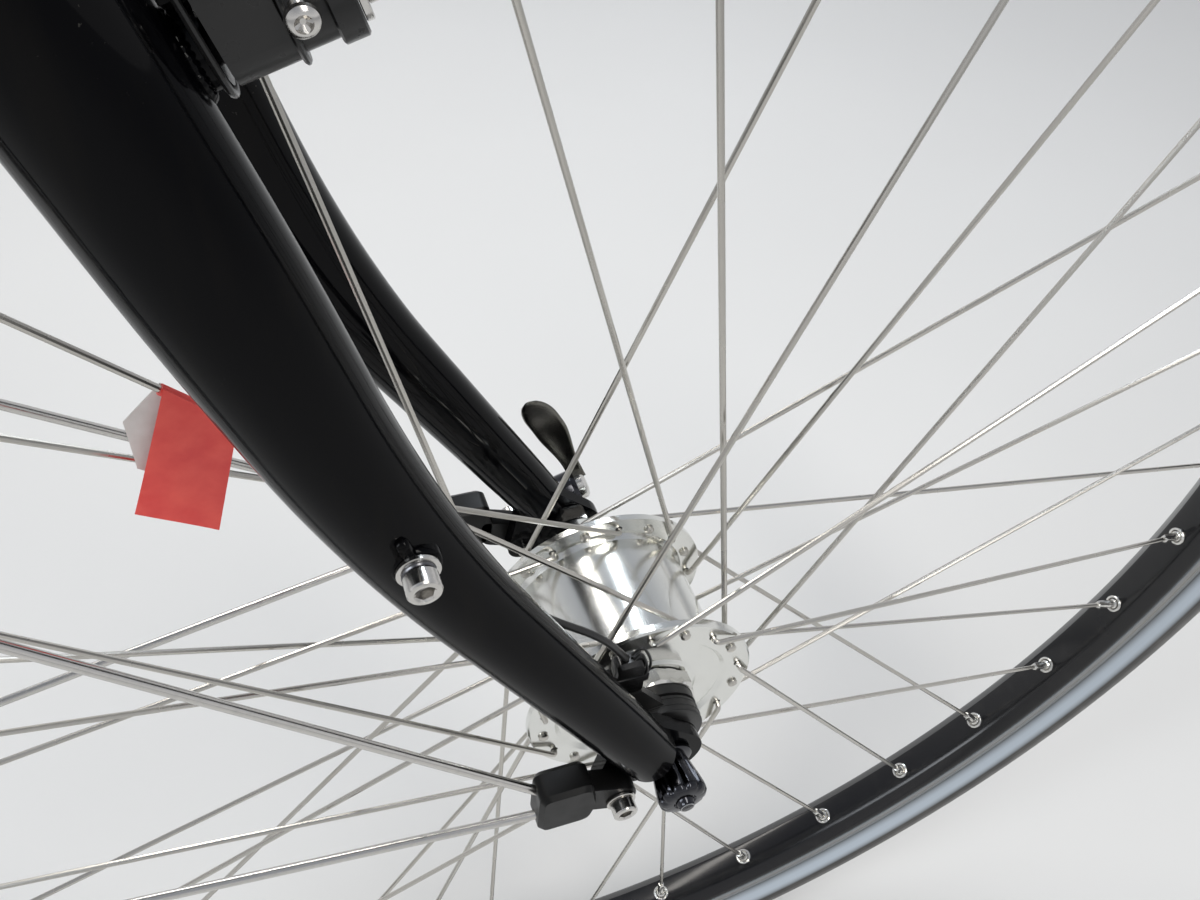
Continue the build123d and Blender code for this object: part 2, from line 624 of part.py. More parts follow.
# Wheel
right_out = -FLANGE_RIGHT - FLANGE_THICK / 2
right_in = right_out + FLANGE_THICK
left_in = FLANGE_LEFT - FLANGE_THICK / 2
left_out = left_in + FLANGE_THICK
shell_root_r = SHELL_R + SHELL_ROOT_RISE
right_recess = right_out + RIGHT_RECESS_DEPTH
left_recess = left_out - LEFT_RECESS_DEPTH
with BuildPart() as hub_shell:
    turned((
        (-HUB_RIGHT_END, AXLE_R + RUNNING_GAP),
        (-HUB_RIGHT_END, RIGHT_NUT_R + NUT_GAP),
        (right_recess, RIGHT_NUT_R + NUT_GAP + RIGHT_RECESS_DEPTH),
        (right_recess, RIGHT_RECESS_R),
        (right_out, RIGHT_RECESS_R + RIGHT_RECESS_DEPTH),
        (right_out, FLANGE_R - FLANGE_EDGE),
        (right_out + FLANGE_EDGE, FLANGE_R),
        (right_in, FLANGE_R),
        (right_in, shell_root_r),
        (right_in + SHELL_ROOT_WIDTH, SHELL_R),
        (left_in - SHELL_ROOT_WIDTH, SHELL_R),
        (left_in, shell_root_r),
        (left_in, FLANGE_R),
        (left_out - FLANGE_EDGE, FLANGE_R),
        (left_out, FLANGE_R - FLANGE_EDGE),
        (left_out, SHELL_R),
        (left_recess, SHELL_R - LEFT_RECESS_DEPTH),
        (left_recess, LEFT_NECK_R),
        (left_out + LEFT_CONE_WIDTH, LEFT_CONE_R),
        (HUB_LEFT_END - LEFT_CAP_WIDTH, LEFT_CAP_R),
        (HUB_LEFT_END, LEFT_CAP_END_R),
        (HUB_LEFT_END, AXLE_R + RUNNING_GAP),
    ))
    left_phase = SPOKE_PHASE + 180 / HOLES_PER_FLANGE
    for flange_face, first_hole in ((-right_out, SPOKE_PHASE), (-left_in, left_phase)):
        with BuildSketch(wheel_side.offset(flange_face)) as holes:
            with PolarLocations(HOLE_CIRCLE_R, HOLES_PER_FLANGE, start_angle=first_hole):
                Circle(SPOKE_HOLE_R)
        extrude(holes.sketch, amount=-FLANGE_THICK, mode=Mode.SUBTRACT)
keep(hub_shell, "hub_shell")


def laced_spoke(flange_right, bend_side, turn):
    """One spoke in the wheel's own directions: x through its hole, y up, z to the right."""
    head_z = flange_right - bend_side * (FLANGE_THICK / 2 + HEAD_HEIGHT)
    bend_z = flange_right + bend_side * (FLANGE_THICK / 2 + SPOKE_R + ELBOW_CLEARANCE)
    a = math.radians(turn)
    nipple_r = RIM_BED_R - NIPPLE_GAP
    nipple_end = Vector(nipple_r * math.cos(a), nipple_r * math.sin(a), 0)
    with BuildPart() as spoke:
        with BuildLine() as run:
            FilletPolyline((HOLE_CIRCLE_R, 0, head_z), (HOLE_CIRCLE_R, 0, bend_z), nipple_end, radius=ELBOW_R)
        with BuildSketch(Plane(origin=run.line @ 0, z_dir=run.line % 0)):
            Circle(SPOKE_R)
        sweep()
        bar(Plane(origin=run.line @ 0, z_dir=run.line % 0), HEAD_R, HEAD_HEIGHT - BOLT_CLEARANCE)
        bar(Plane(origin=run.line @ 1, z_dir=run.line % 1), NIPPLE_R, -NIPPLE_LENGTH)
    return spoke.part


hole_step = 360 / HOLES_PER_FLANGE
for side, flange_right, phase, outward in (
    ("right", FLANGE_RIGHT, SPOKE_PHASE, 1),
    ("left", -FLANGE_LEFT, SPOKE_PHASE + hole_step / 2, -1),
):
    heads_out = laced_spoke(flange_right, -outward, CROSS_ANGLE)
    elbows_out = laced_spoke(flange_right, outward, -CROSS_ANGLE)
    with BuildPart(wheel_side) as spokes:
        with PolarLocations(0, HOLES_PER_FLANGE // 2, start_angle=phase):
            add(heads_out)
        with PolarLocations(0, HOLES_PER_FLANGE // 2, start_angle=phase + hole_step):
            add(elbows_out)
    keep(spokes, f"spokes_{side}")

with BuildPart() as rim:
    half = (
        (RIM_BED_HALF_WIDTH, RIM_BED_R),
        (RIM_HALF_WIDTH, RIM_SHOULDER_R),
        (RIM_HALF_WIDTH, RIM_TOP_R),
        (RIM_HALF_WIDTH - RIM_WALL, RIM_TOP_R),
        (RIM_HALF_WIDTH - RIM_WALL, RIM_WELL_R),
    )
    turned(half + tuple((-left, radius) for left, radius in reversed(half)))
keep(rim, "rim")

# Tyre casing, open towards the rim as a real one is
bead = RIM_HALF_WIDTH - RIM_WALL - BEAD_GAP
bead_foot = RIM_WELL_R + BEAD_GAP
bead_top = RIM_TOP_R + BEAD_RISE
wide_r = RIM_TOP_R + TYRE_HEIGHT * WIDE_RISE
shoulder = (TYRE_HALF_WIDTH * SHOULDER_OUT, TYRE_R - TYRE_HEIGHT * SHOULDER_DROP)
inside_half = TYRE_HALF_WIDTH - TYRE_WALL
inside_top = TYRE_R - TREAD_THICK
flare = (bead + (TYRE_HALF_WIDTH - bead) * FLARE_OUT, RIM_TOP_R + TYRE_HEIGHT * FLARE_RISE)
with BuildPart() as tyre:
    with BuildSketch(wheel_cut(90)) as casing:
        with BuildLine():
            Line((bead, bead_foot), (bead, bead_top))
            ThreePointArc((bead, bead_top), flare, (TYRE_HALF_WIDTH, wide_r))
            ThreePointArc((TYRE_HALF_WIDTH, wide_r), shoulder, (0, TYRE_R))
            ThreePointArc((0, TYRE_R), (-shoulder[0], shoulder[1]), (-TYRE_HALF_WIDTH, wide_r))
            ThreePointArc((-TYRE_HALF_WIDTH, wide_r), (-flare[0], flare[1]), (-bead, bead_top))
            Line((-bead, bead_top), (-bead, bead_foot))
            Line((-bead, bead_foot), (-bead + TYRE_WALL, bead_foot))
            Line((-bead + TYRE_WALL, bead_foot), (-bead + TYRE_WALL, bead_top))
            ThreePointArc((-bead + TYRE_WALL, bead_top), (-inside_half, wide_r), (0, inside_top))
            ThreePointArc((0, inside_top), (inside_half, wide_r), (bead - TYRE_WALL, bead_top))
            Line((bead - TYRE_WALL, bead_top), (bead - TYRE_WALL, bead_foot))
            Line((bead - TYRE_WALL, bead_foot), (bead, bead_foot))
        make_face()
    revolve(casing.sketch, axis=SPIN)
keep(tyre, "tyre")

valve_angle = math.radians(SPOKE_PHASE - VALVE_TURN)
valve_way = Vector(math.cos(valve_angle), 0, math.sin(valve_angle))
with BuildPart() as valve:
    reach = RIM_BED_R - BRIDGE_GAP
    for radius, length in (
        (VALVE_NUT_R, VALVE_NUT_HEIGHT),
        (VALVE_STEM_R, VALVE_STEM_LENGTH),
        (VALVE_CAP_R, VALVE_CAP_LENGTH),
    ):
        bar(Plane(origin=HUB + valve_way * reach, z_dir=-valve_way), radius, length)
        reach -= length
keep(valve, "valve")

# Marker tape folded over a right-hand spoke, laid out along that spoke from the tape's outer corner
FLAG_HOLE = 4
FLAG_ALONG = 196.0
FLAG_LENGTH = 20.0
FLAG_THICK = 0.5
FLAG_FRONT = ((0, 1.2), (FLAG_LENGTH, 0.6), (23.5, -5.3), (37.0, -32.4), (15.4, -36.8))
FLAG_BACK = ((0, 1.2), (FLAG_LENGTH, 0.6), (26.0, -24.0), (9.7, -26.0), (-0.7, -14.9))
hole_angle = math.radians(SPOKE_PHASE + FLAG_HOLE * hole_step)
nipple_angle = hole_angle + math.radians(CROSS_ANGLE)
spoke_side = -FLANGE_RIGHT + FLANGE_THICK / 2 + SPOKE_R + ELBOW_CLEARANCE
nipple_r = RIM_BED_R - NIPPLE_GAP
hole_ahead = HOLE_CIRCLE_R * math.cos(hole_angle)
hole_up = HOLE_CIRCLE_R * math.sin(hole_angle)
spoke_start = HUB + Vector(hole_ahead, spoke_side, hole_up)
spoke_end = HUB + Vector(nipple_r * math.cos(nipple_angle), 0, nipple_r * math.sin(nipple_angle))
spoke_way = (spoke_end - spoke_start).normalized()
flag_normal = -LEFTWARD + spoke_way * spoke_way.Y
flag_plane = Plane(origin=spoke_start + spoke_way * FLAG_ALONG, x_dir=-spoke_way, z_dir=flag_normal)
flag_face = SPOKE_R + FIT_GAP
with BuildPart() as spoke_flag:
    for corners, low in ((FLAG_FRONT, flag_face), (FLAG_BACK, -flag_face - FLAG_THICK)):
        with BuildSketch(flag_plane.offset(low)):
            with BuildLine():
                Polyline(*corners, close=True)
            make_face()
        extrude(amount=FLAG_THICK)
    with BuildSketch(Plane(origin=flag_plane.origin, z_dir=-spoke_way)):
        Circle(flag_face + FLAG_THICK)
        Circle(flag_face, mode=Mode.SUBTRACT)
    extrude(amount=FLAG_LENGTH)
keep(spoke_flag, "spoke_flag")


# Mudguard, its flap, bridges, stays and clips
def guard_band(inner_r, thick, half_width, edge_r, start, end):
    """A curved channel round the wheel, from one angle to another."""
    with BuildSketch(wheel_cut(start)) as band:
        with BuildLine():
            ThreePointArc((-half_width, edge_r), (0, inner_r + thick), (half_width, edge_r))
            Line((half_width, edge_r), (half_width - thick, edge_r))
            ThreePointArc((half_width - thick, edge_r), (0, inner_r), (-half_width + thick, edge_r))
            Line((-half_width + thick, edge_r), (-half_width, edge_r))
        make_face()
    revolve(band.sketch, axis=SPIN, revolution_arc=end - start)


with BuildPart() as mudguard:
    guard_band(
        GUARD_INNER_R, GUARD_THICK, GUARD_HALF_WIDTH, GUARD_EDGE_R, GUARD_FRONT_ANGLE, GUARD_REAR_ANGLE
    )
keep(mudguard, "mudguard")

with BuildPart() as mudguard_flap:
    guard_band(
        GUARD_INNER_R - FLAP_THICK - FLAP_TOP_GAP,
        FLAP_THICK,
        GUARD_HALF_WIDTH - GUARD_THICK - FLAP_SIDE_GAP,
        GUARD_EDGE_R + FLAP_SIDE_GAP / 2,
        GUARD_REAR_ANGLE - FLAP_OVERLAP_ANGLE,
        FLAP_END_ANGLE,
    )
keep(mudguard_flap, "mudguard_flap")

guard_outer_r = GUARD_INNER_R + GUARD_THICK
bridge_half = GUARD_HALF_WIDTH + BRIDGE_THICK + BRIDGE_GAP
with BuildPart() as stay_bridges:
    for angle in STAY_ANGLES:
        guard_band(
            guard_outer_r + BRIDGE_GAP,
            BRIDGE_THICK,
            bridge_half,
            GUARD_EDGE_R,
            angle - BRIDGE_SPAN_ANGLE / 2,
            angle + BRIDGE_SPAN_ANGLE / 2,
        )
keep(stay_bridges, "stay_bridges")


def stay_bars(sign, radius, mode=Mode.ADD):
    """Both stays of one side, from the clip to the mudguard's edge."""
    for (ahead, up, out), angle in zip(STAY_STARTS, STAY_ANGLES):
        a = math.radians(angle)
        start = HUB + Vector(ahead, sign * (CLIP_INNER + out), up)
        reach = GUARD_EDGE_R + STAY_END_RISE
        side_place = sign * (bridge_half + STAY_R + BRIDGE_GAP)
        end = HUB + Vector(reach * math.cos(a), side_place, reach * math.sin(a))
        bar(Plane(origin=start, z_dir=end - start), radius, (end - start).length, mode=mode)


eyelet_place = axle_side.from_local_coords(Vector(EYELET[0], EYELET[1], 0)) - HUB
for side, sign in SIDES:
    with BuildPart() as stays:
        stay_bars(sign, STAY_R)
    keep(stays, f"stays_{side}")

    # The clip's thin eye is screwed to the dropout, and its thick end holds both stays
    clip_seat = Plane(
        origin=HUB + LEFTWARD * sign * (CLIP_INNER + BRIDGE_GAP), x_dir=(1, 0, 0), z_dir=(0, -1, 0)
    )
    with BuildPart() as stay_clip:
        with BuildSketch(clip_seat):
            with Locations(CLIP_END):
                RectangleRounded(CLIP_END_SIZE[0], CLIP_END_SIZE[1], CLIP_CHAMFER)
        extrude(amount=-sign * CLIP_THICK)
        outer_face = stay_clip.faces().sort_by(Axis(HUB, LEFTWARD * sign))[-1]
        chamfer(outer_face.outer_wire().edges(), CLIP_CHAMFER)
        with BuildSketch(clip_seat) as eye:
            with Locations((eyelet_place.X, eyelet_place.Z), CLIP_NECK):
                Circle(CLIP_EYE_R)
            make_hull()
        extrude(eye.sketch, amount=-sign * CLIP_EYE_THICK)
        groove_width, groove_depth = CLIP_GROOVE
        with BuildSketch(clip_seat.offset(-sign * CLIP_THICK)) as groove:
            with Locations(CLIP_END):
                Rectangle(groove_width, groove_depth)
        extrude(groove.sketch, amount=sign * groove_depth, mode=Mode.SUBTRACT)
        with BuildSketch(clip_seat) as hole:
            with Locations((eyelet_place.X, eyelet_place.Z)):
                Circle(EYELET_HOLE_R)
        extrude(hole.sketch, amount=-sign * CLIP_THICK, mode=Mode.SUBTRACT)
        stay_bars(sign, STAY_R + FIT_GAP, mode=Mode.SUBTRACT)
    keep(stay_clip, f"stay_clip_{side}")

    with BuildPart() as clip_bolt:
        bolt_plane = Plane(origin=HUB + eyelet_place, x_dir=STEER_FORE, z_dir=LEFTWARD * sign)
        bolt_length = CLIP_EYE_THICK + DROPOUT_THICK + EYELET_HOLE_R
        head_seat = bolt_plane.offset(CLIP_INNER + CLIP_EYE_THICK + 2 * BRIDGE_GAP)
        socket_screw(head_seat, EYELET_HOLE_R - FIT_GAP, bolt_length)
    keep(clip_bolt, f"clip_bolt_{side}")

# Crown bolt with the mudguard's bracket behind and the lamp's bracket in front
bracket_place = SLEEVE_R + BRACKET_GAP
with BuildPart() as crown_bolt:
    reach = bracket_place + BRACKET_THICK + BRACKET_GAP
    bar(bolt_through.offset(-reach), CROWN_BOLT_R, 2 * reach)
    for start in (-reach - NUT_HEIGHT, reach):
        with BuildSketch(bolt_through.offset(start)) as nut:
            RegularPolygon(NUT_ACROSS_R, 6)
        extrude(nut.sketch, amount=NUT_HEIGHT)
keep(crown_bolt, "crown_bolt")

foot_r = guard_outer_r + 2 * BRACKET_GAP
foot_up = math.sqrt(foot_r**2 - (bracket_place + RAKE) ** 2)
bracket_top = CROWN_BOLT_DROP - BRACKET_END
bracket_foot = AXLE_TO_CROWN - foot_up
with BuildPart() as guard_bracket:
    with BuildSketch(fork_front.offset(-bracket_place)):
        with Locations((0, -(bracket_top + bracket_foot) / 2)):
            Rectangle(BRACKET_WIDTH, bracket_foot - bracket_top)
    extrude(amount=-BRACKET_THICK)
    turned(
        (
            (-BRACKET_WIDTH / 2, foot_r),
            (BRACKET_WIDTH / 2, foot_r),
            (BRACKET_WIDTH / 2, foot_r + FLAP_THICK),
            (-BRACKET_WIDTH / 2, foot_r + FLAP_THICK),
        ),
        wheel_angle(-bracket_place - RAKE, foot_up),
        BRACKET_FOOT_ANGLE,
    )
    bar(bolt_through, CROWN_BOLT_R + BOLT_CLEARANCE, -2 * bracket_place, mode=Mode.SUBTRACT)
keep(guard_bracket, "guard_bracket")

plate_middle = bracket_place + BRACKET_THICK / 2
with BuildPart() as lamp_bracket:
    bend_up = (LAMP_FOOT_Z - plate_middle * math.sin(lean)) / math.cos(lean)
    foot_run = LAMP_BACK + LAMP_LENGTH / 2
    with BuildLine(fork_side) as bracket_line:
        FilletPolyline(
            (plate_middle, -CROWN_BOLT_DROP - BRACKET_END),
            (plate_middle, bend_up),
            (plate_middle + foot_run * math.cos(lean), bend_up - foot_run * math.sin(lean)),
            radius=BRACKET_BEND_R,
        )
    with BuildSketch(Plane(origin=bracket_line.line @ 0, x_dir=LEFTWARD, z_dir=bracket_line.line % 0)):
        Rectangle(BRACKET_WIDTH, BRACKET_THICK)
    sweep()
    bar(bolt_through, CROWN_BOLT_R + BOLT_CLEARANCE, 2 * bracket_place, mode=Mode.SUBTRACT)
keep(lamp_bracket, "lamp_bracket")

lamp_low = LAMP_FOOT_Z + BRACKET_THICK / 2 + BRACKET_GAP
lamp_middle_z = lamp_low + LAMP_LIFT + LAMP_HEIGHT / 2
lamp_back_face = Plane(origin=(LAMP_BACK, 0, lamp_middle_z), x_dir=LEFTWARD, z_dir=(1, 0, 0))
lamp_front_face = lamp_back_face.offset(LAMP_LENGTH)
gland_base = Plane(origin=(GLAND[0], GLAND[1], GLAND_BOTTOM_Z), z_dir=(0, 0, 1))
with BuildPart() as lamp_body:
    for share, wide, high in LAMP_SECTIONS:
        with BuildSketch(lamp_back_face.offset(LAMP_LENGTH * share)):
            RectangleRounded(LAMP_WIDTH * wide, LAMP_HEIGHT * high, LAMP_HEIGHT * high * LAMP_CORNER)
    loft()
    foot_place = (LAMP_BACK + LAMP_LENGTH / 2, 0, lamp_low)
    with BuildSketch(Plane(origin=foot_place, x_dir=(1, 0, 0), z_dir=(0, 0, 1))) as foot:
        Rectangle(LAMP_FOOT_LENGTH, BRACKET_WIDTH)
    extrude(foot.sketch, amount=LAMP_HEIGHT / 2)
    bar(gland_base, GLAND_R, LAMP_HEIGHT / 3)
    bar(gland_base, WIRE_R + FIT_GAP, LAMP_HEIGHT / 8, mode=Mode.SUBTRACT)
    with BuildSketch(lamp_front_face) as mouth:
        RectangleRounded(LAMP_WIDTH - 2 * LAMP_WALL, LAMP_HEIGHT - 2 * LAMP_WALL, LENS_CORNER_R)
    extrude(mouth.sketch, amount=-LAMP_RECESS, mode=Mode.SUBTRACT)
keep(lamp_body, "lamp_body")

with BuildPart() as lamp_lens:
    lens_width = LAMP_WIDTH - 2 * LAMP_WALL - 2 * LENS_GAP
    lens_height = LAMP_HEIGHT - 2 * LAMP_WALL - 2 * LENS_GAP
    with BuildSketch(lamp_front_face.offset(-LENS_BACK)):
        RectangleRounded(lens_width, lens_height, LENS_CORNER_R)
    extrude(amount=LENS_THICK)
keep(lamp_lens, "lamp_lens")

# Lamp wire, clipped along the right blade and ending in the lamp's gland
# each row: ahead of the steering axis, outside the wheel's middle, up along the axis
WIRE_FROM_AXLE = (
    (RAKE + 1.9, (PLUG_INNER + PLUG_OUTER) / 2, 50.7),
    (33.0, 42.6, 70.0),
    (17.0, 42.0, 100.0),
    (3.6, 38.0, 158.0),
    (0.3, 34.2, 214.0),
    (0.0, 31.7, 249.0),
    (0.0, 31.0, 274.0),
)
WIRE_FROM_CROWN = (
    (0.5, 29.3, -82.0),
    (13.0, 27.4, -60.0),
    (23.5, 24.0, -40.0),
    (31.0, 15.0, -18.0),
)
GLAND_APPROACH = (-5.0, 3.0)  # places under and in the gland, from its bottom


def arc_radii(points):
    """The radius of each arc on a route: 0.45 of the shorter run, over the tangent of half the turn."""
    radii = []
    for before, here, after in zip(points, points[1:], points[2:]):
        into, out = here - before, after - here
        half_turn = math.radians(into.get_angle(out)) / 2
        radii.append(0.45 * min(into.length, out.length) / math.tan(half_turn))
    return radii


wire_points = [fork_point(fore, -out, up - AXLE_TO_CROWN) for fore, out, up in WIRE_FROM_AXLE]
wire_points += [fork_point(fore, -out, up) for fore, out, up in WIRE_FROM_CROWN]
wire_points += [Vector(GLAND[0], GLAND[1], GLAND_BOTTOM_Z + rise) for rise in GLAND_APPROACH]
wire_radii = arc_radii(wire_points)
print("wire arc radii", [round(radius, 1) for radius in wire_radii])
with BuildPart() as lamp_wire:
    with BuildLine() as route:
        FilletPolyline(*wire_points, radius=wire_radii)
    with BuildSketch(Plane(origin=route.line @ 0, z_dir=route.line % 0)):
        Circle(WIRE_R)
    sweep()
cord_length = sum(edge.length for edge in route.edges())
print("wire length", round(cord_length, 2))
print("wire volume over section times length", lamp_wire.part.volume / (math.pi * WIRE_R**2 * cord_length))
keep(lamp_wire, "lamp_wire")
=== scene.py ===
import json
import math

import bmesh
import bpy
from mathutils import Matrix, Vector


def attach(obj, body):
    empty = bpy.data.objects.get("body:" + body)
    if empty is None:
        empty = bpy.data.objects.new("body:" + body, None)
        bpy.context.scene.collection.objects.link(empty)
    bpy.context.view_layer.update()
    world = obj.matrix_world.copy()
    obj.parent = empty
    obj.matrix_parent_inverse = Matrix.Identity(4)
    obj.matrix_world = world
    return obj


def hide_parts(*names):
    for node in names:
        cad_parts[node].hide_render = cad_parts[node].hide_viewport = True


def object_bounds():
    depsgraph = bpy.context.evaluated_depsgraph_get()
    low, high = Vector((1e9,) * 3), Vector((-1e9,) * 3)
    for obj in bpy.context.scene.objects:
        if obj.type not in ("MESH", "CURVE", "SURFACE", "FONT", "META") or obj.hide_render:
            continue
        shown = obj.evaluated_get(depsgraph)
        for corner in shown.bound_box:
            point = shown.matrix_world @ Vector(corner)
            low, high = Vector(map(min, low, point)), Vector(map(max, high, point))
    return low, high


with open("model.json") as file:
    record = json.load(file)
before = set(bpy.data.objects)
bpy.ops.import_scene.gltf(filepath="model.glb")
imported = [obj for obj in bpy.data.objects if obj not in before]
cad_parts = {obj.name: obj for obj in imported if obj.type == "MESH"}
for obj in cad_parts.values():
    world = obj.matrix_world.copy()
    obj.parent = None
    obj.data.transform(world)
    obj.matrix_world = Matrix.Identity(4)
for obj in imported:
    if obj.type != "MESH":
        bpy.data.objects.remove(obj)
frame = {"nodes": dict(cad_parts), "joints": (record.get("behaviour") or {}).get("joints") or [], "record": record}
cad_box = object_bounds()

# Fork and front wheel of a trekking bicycle. Shapes are worked out in millimetres and stored in metres.
MM = 0.001
LEFT = Vector((0, 1, 0))
RIGHT = -LEFT
STEER_UP = Vector(frame["record"]["mounts"][0]["axis"])
STEER_FORE = LEFT.cross(STEER_UP)
HUB = Vector(frame["joints"][0]["pos_m"]) / MM
AXLE_TO_CROWN = -HUB.dot(STEER_UP)

# Camera: from the hub, beside the fork's right blade, looking steeply down
CAMERA_FROM_HUB = Vector((-118.8, -223.4, 362.5))
CAMERA_FORWARD = Vector((0.292, 0.624, -0.725))
CAMERA_DOWN = Vector((-0.189, -0.706, -0.683))
FOCAL_PIXELS = 1154
PHOTO_WIDTH = 1200
SENSOR_WIDTH = 36.0

# Lights, in metres. Each row: name, place, size, power and colour
LIGHT_AIM = (0.17, 0.0, -0.37)
LIGHTS = (
    ("key", (0.5, -1.0, 1.5), (0.5, 1.6), 20, (1.0, 0.97, 0.92)),
    ("fill", (-1.4, -0.3, 0.7), (0.4, 1.2), 9, (0.90, 0.95, 1.0)),
    ("streak_ahead", (0.63, 1.0, 0.78), (0.2, 1.2), 7, (0.86, 0.93, 1.0)),
    ("streak_behind", (-0.21, 0.93, 0.74), (0.14, 1.2), 5, (1.0, 0.96, 0.90)),
)

# Wheel, as the model has it
RIM_TOP_R = 317.0
RIM_HALF_WIDTH = 12.3
RIM_WELL_R = RIM_TOP_R - 6.5
RIM_SHOULDER_R = RIM_TOP_R - 13.5
RIM_BED_R = RIM_TOP_R - 18.5
RIM_BED_HALF_WIDTH = 6.5
TYRE_R = RIM_TOP_R + 31.0
TYRE_HALF_WIDTH = 18.5
TYRE_WALL = 3.0
TYRE_CROWN = 4.5
CROWN_STEPS = 12
CROWN_SQUARENESS = 0.92
WALL_STEPS = 7
WALL_FLARE = 1.9
RIM_HOOK = 1.9
BEAD_GAP = 0.3
BEAD_RISE = 1.5
WIDE_R = RIM_TOP_R + 0.45 * (TYRE_R - RIM_TOP_R)
STRIPE_HIGHLIGHT_R = (318.6, 326.8)  # reflective ring on the tyre's wall, with a bluish painted highlight on it
STRIPE_HIGHLIGHT_PEAK = 4.2 / (STRIPE_HIGHLIGHT_R[1] - STRIPE_HIGHLIGHT_R[0]) ** 2  # full in the ring's middle, soft at its edges, as a painted highlight
VALVE_TURN = 155.0
VALVE_THREADS = 28
VALVE_PITCH = 0.85
HOLE_CIRCLE_R = 37.6
FLANGE_RIGHT = 30.2
FLANGE_LEFT = 18.8
FLANGE_THICK = 3.0
HOLES_PER_FLANGE = 18
SPOKE_PHASE = -8.3
CROSS_ANGLE = 60.0
SPOKE_R = 1.0
ELBOW_R = 2.4
ELBOW_CLEARANCE = 1.5
HEAD_STAND = 0.9
NIPPLE_GAP = 0.35
FLAG_HOLE = 4
FLAG_ALONG = 196.0

# Tread, as places of its edges along one pitch
TREAD_PITCHES = 130
TREAD_EDGES = (0.0, 0.04, 0.18, 0.22, 0.5, 0.54, 0.68, 0.72)
TREAD_DEPTH = 1.8

# Fork, as the model has it. Drops are measured down the steering axis from the crown race.
CROWN_BEND_DROP = 66.0
CROWN_TUBE_R = 16.0
SLEEVE_R = 18.5
BLADE_TOP_LEFT = 46.5
BLADE_TIP_LEFT = 57.5
BLADE_TIP_DROP = AXLE_TO_CROWN - 12.0
RAKE_START_DROP = AXLE_TO_CROWN - 217.0
RAKE_BEND_R = 500.0
RAKE_TURN = math.radians(11.0)
# each row: height above the axle, blade radius
BLADE_TAPER = (
    (338.0, 16.0), (289.0, 16.0), (249.0, 15.9), (204.0, 14.6), (164.0, 13.2),
    (127.0, 11.9), (94.0, 11.2), (62.0, 10.6), (32.0, 10.1), (12.0, 9.4),
)
PAINT_THICK = 0.3
LOWRIDER_DROP = AXLE_TO_CROWN - 172.0
LOWRIDER_AHEAD = 2.2
GUIDE_DROP = 224.0
GUIDE_AHEAD = 3.0
CLIP_INNER = 55.5
EYELET = (-20.0, 2.0)

# Screw heads
SCREW_R = 4.25
CLIP_SCREW_R = 4.3
SCREW_HEIGHT = 5.0
SOCKET_R = 2.35
PIVOT_SOCKET_R = 2.4
WASHER_THICK = 1.2
WASHER_CLEARANCE = 0.05

# Brake
BRAKE_BOSS_LEFT = 40.0
BRAKE_BOSS_DROP = AXLE_TO_CROWN - 289.0
BRAKE_BOSS_R = 7.5
ARM_FORE = 21.0
BARREL_LENGTH = 23.0
SPRING_LOOP_R = 8.8
SPRING_WIRE_R = 0.7
TENSION_THREADS = 12
TENSION_PITCH = 0.7
TENSION_SCREW = (14.0, 9.0, 3.0)  # from the pivot: ahead, outwards and up
SPRING_END = (-2.0, 11.0, 52.0)
# each row: where a collar starts and ends along the pivot, its radius
PIVOT_COLLARS = ((11.0, 12.2, 9.2), (18.2, 23.0, 8.6))
PAD_ANGLE = 111.06
PAD_SPAN = 9.6
PAD_INNER = 17.3
PAD_OUTER = 27.3
PAD_R = 311.5
PAD_HALF_HEIGHT = 5.0
PAD_BLOCKS = 6
PAD_GROOVE = 1.0
PAD_BLOCK_DEPTH = 5.0
PAD_BACK_DEPTH = 3.2

# Axle ends
NUT_FLUTES = 10
OCTAGON_R = 19.8
OCTAGON_TURN = math.radians(17.0)
OCTAGON_INNER = 31.4
OCTAGON_OUTER = 37.5
CAM_LEFT = 68.7
CAM_BACK = 8.0
CAM_AHEAD = 14.0
LEVER_ENDS = ((12.0, 2.0), (5.6, 57.5))  # ahead of the axle and up, at its root and tip
LEVER_OUT = 1.8
LEVER_BOW = 5.0
LEVER_SWEEP = 1.0
LEVER_NECK = 3.4
LEVER_HALF_WIDTH = 6.4
LEVER_HALF_THICK = 1.7
LEVER_DISH = 1.8
TOWER_AHEAD = -14.0
TOWER_TOP = 30.0
PLUG_TOP = 48.0
PLUG_WIDTH = 13.0
PLUG_INNER = 38.6
PLUG_OUTER = 45.0
PLUG_LEADS = ((5.5, 12.0, 43.5), (7.5, 15.0, 41.5))  # each lead's reach, dip and place to the right
CONNECTOR_RIBS = ((-42.4, 17.25), (-45.0, 17.25), (-47.3, 16.9))  # each rib's place to the left, radius

# Mudguard and lamp
GUARD_OUTER_R = 360.1
GUARD_EDGE_R = 348.5
GUARD_HALF_WIDTH = 23.5
GUARD_FRONT = 88.0
GUARD_REAR = 203.0
GUARD_STEPS = 230
RIVET_LEFT = 8.0
# each row: a stay's start ahead of the axle, up from it and outside the clip's face, its end's angle
STAY_ENDS = ((-46.0, 10.0, 5.5, 143.0), (-48.0, 0.0, 7.0, 185.0))
STAY_OUT = 26.5
LAMP_FRONT = 75.0
LAMP_MIDDLE_Z = 28.8
BEZEL_HALF_WIDTH = 29.0
BEZEL_HALF_HEIGHT = 20.0
BOWL_HALF_WIDTH = 25.8
BOWL_HALF_HEIGHT = 16.8
WIRE_CLIPS = ((128.0, 31.0, 0.0), (190.0, 34.2, 0.3), (246.0, 38.0, 3.6))  # drop, to the right, ahead


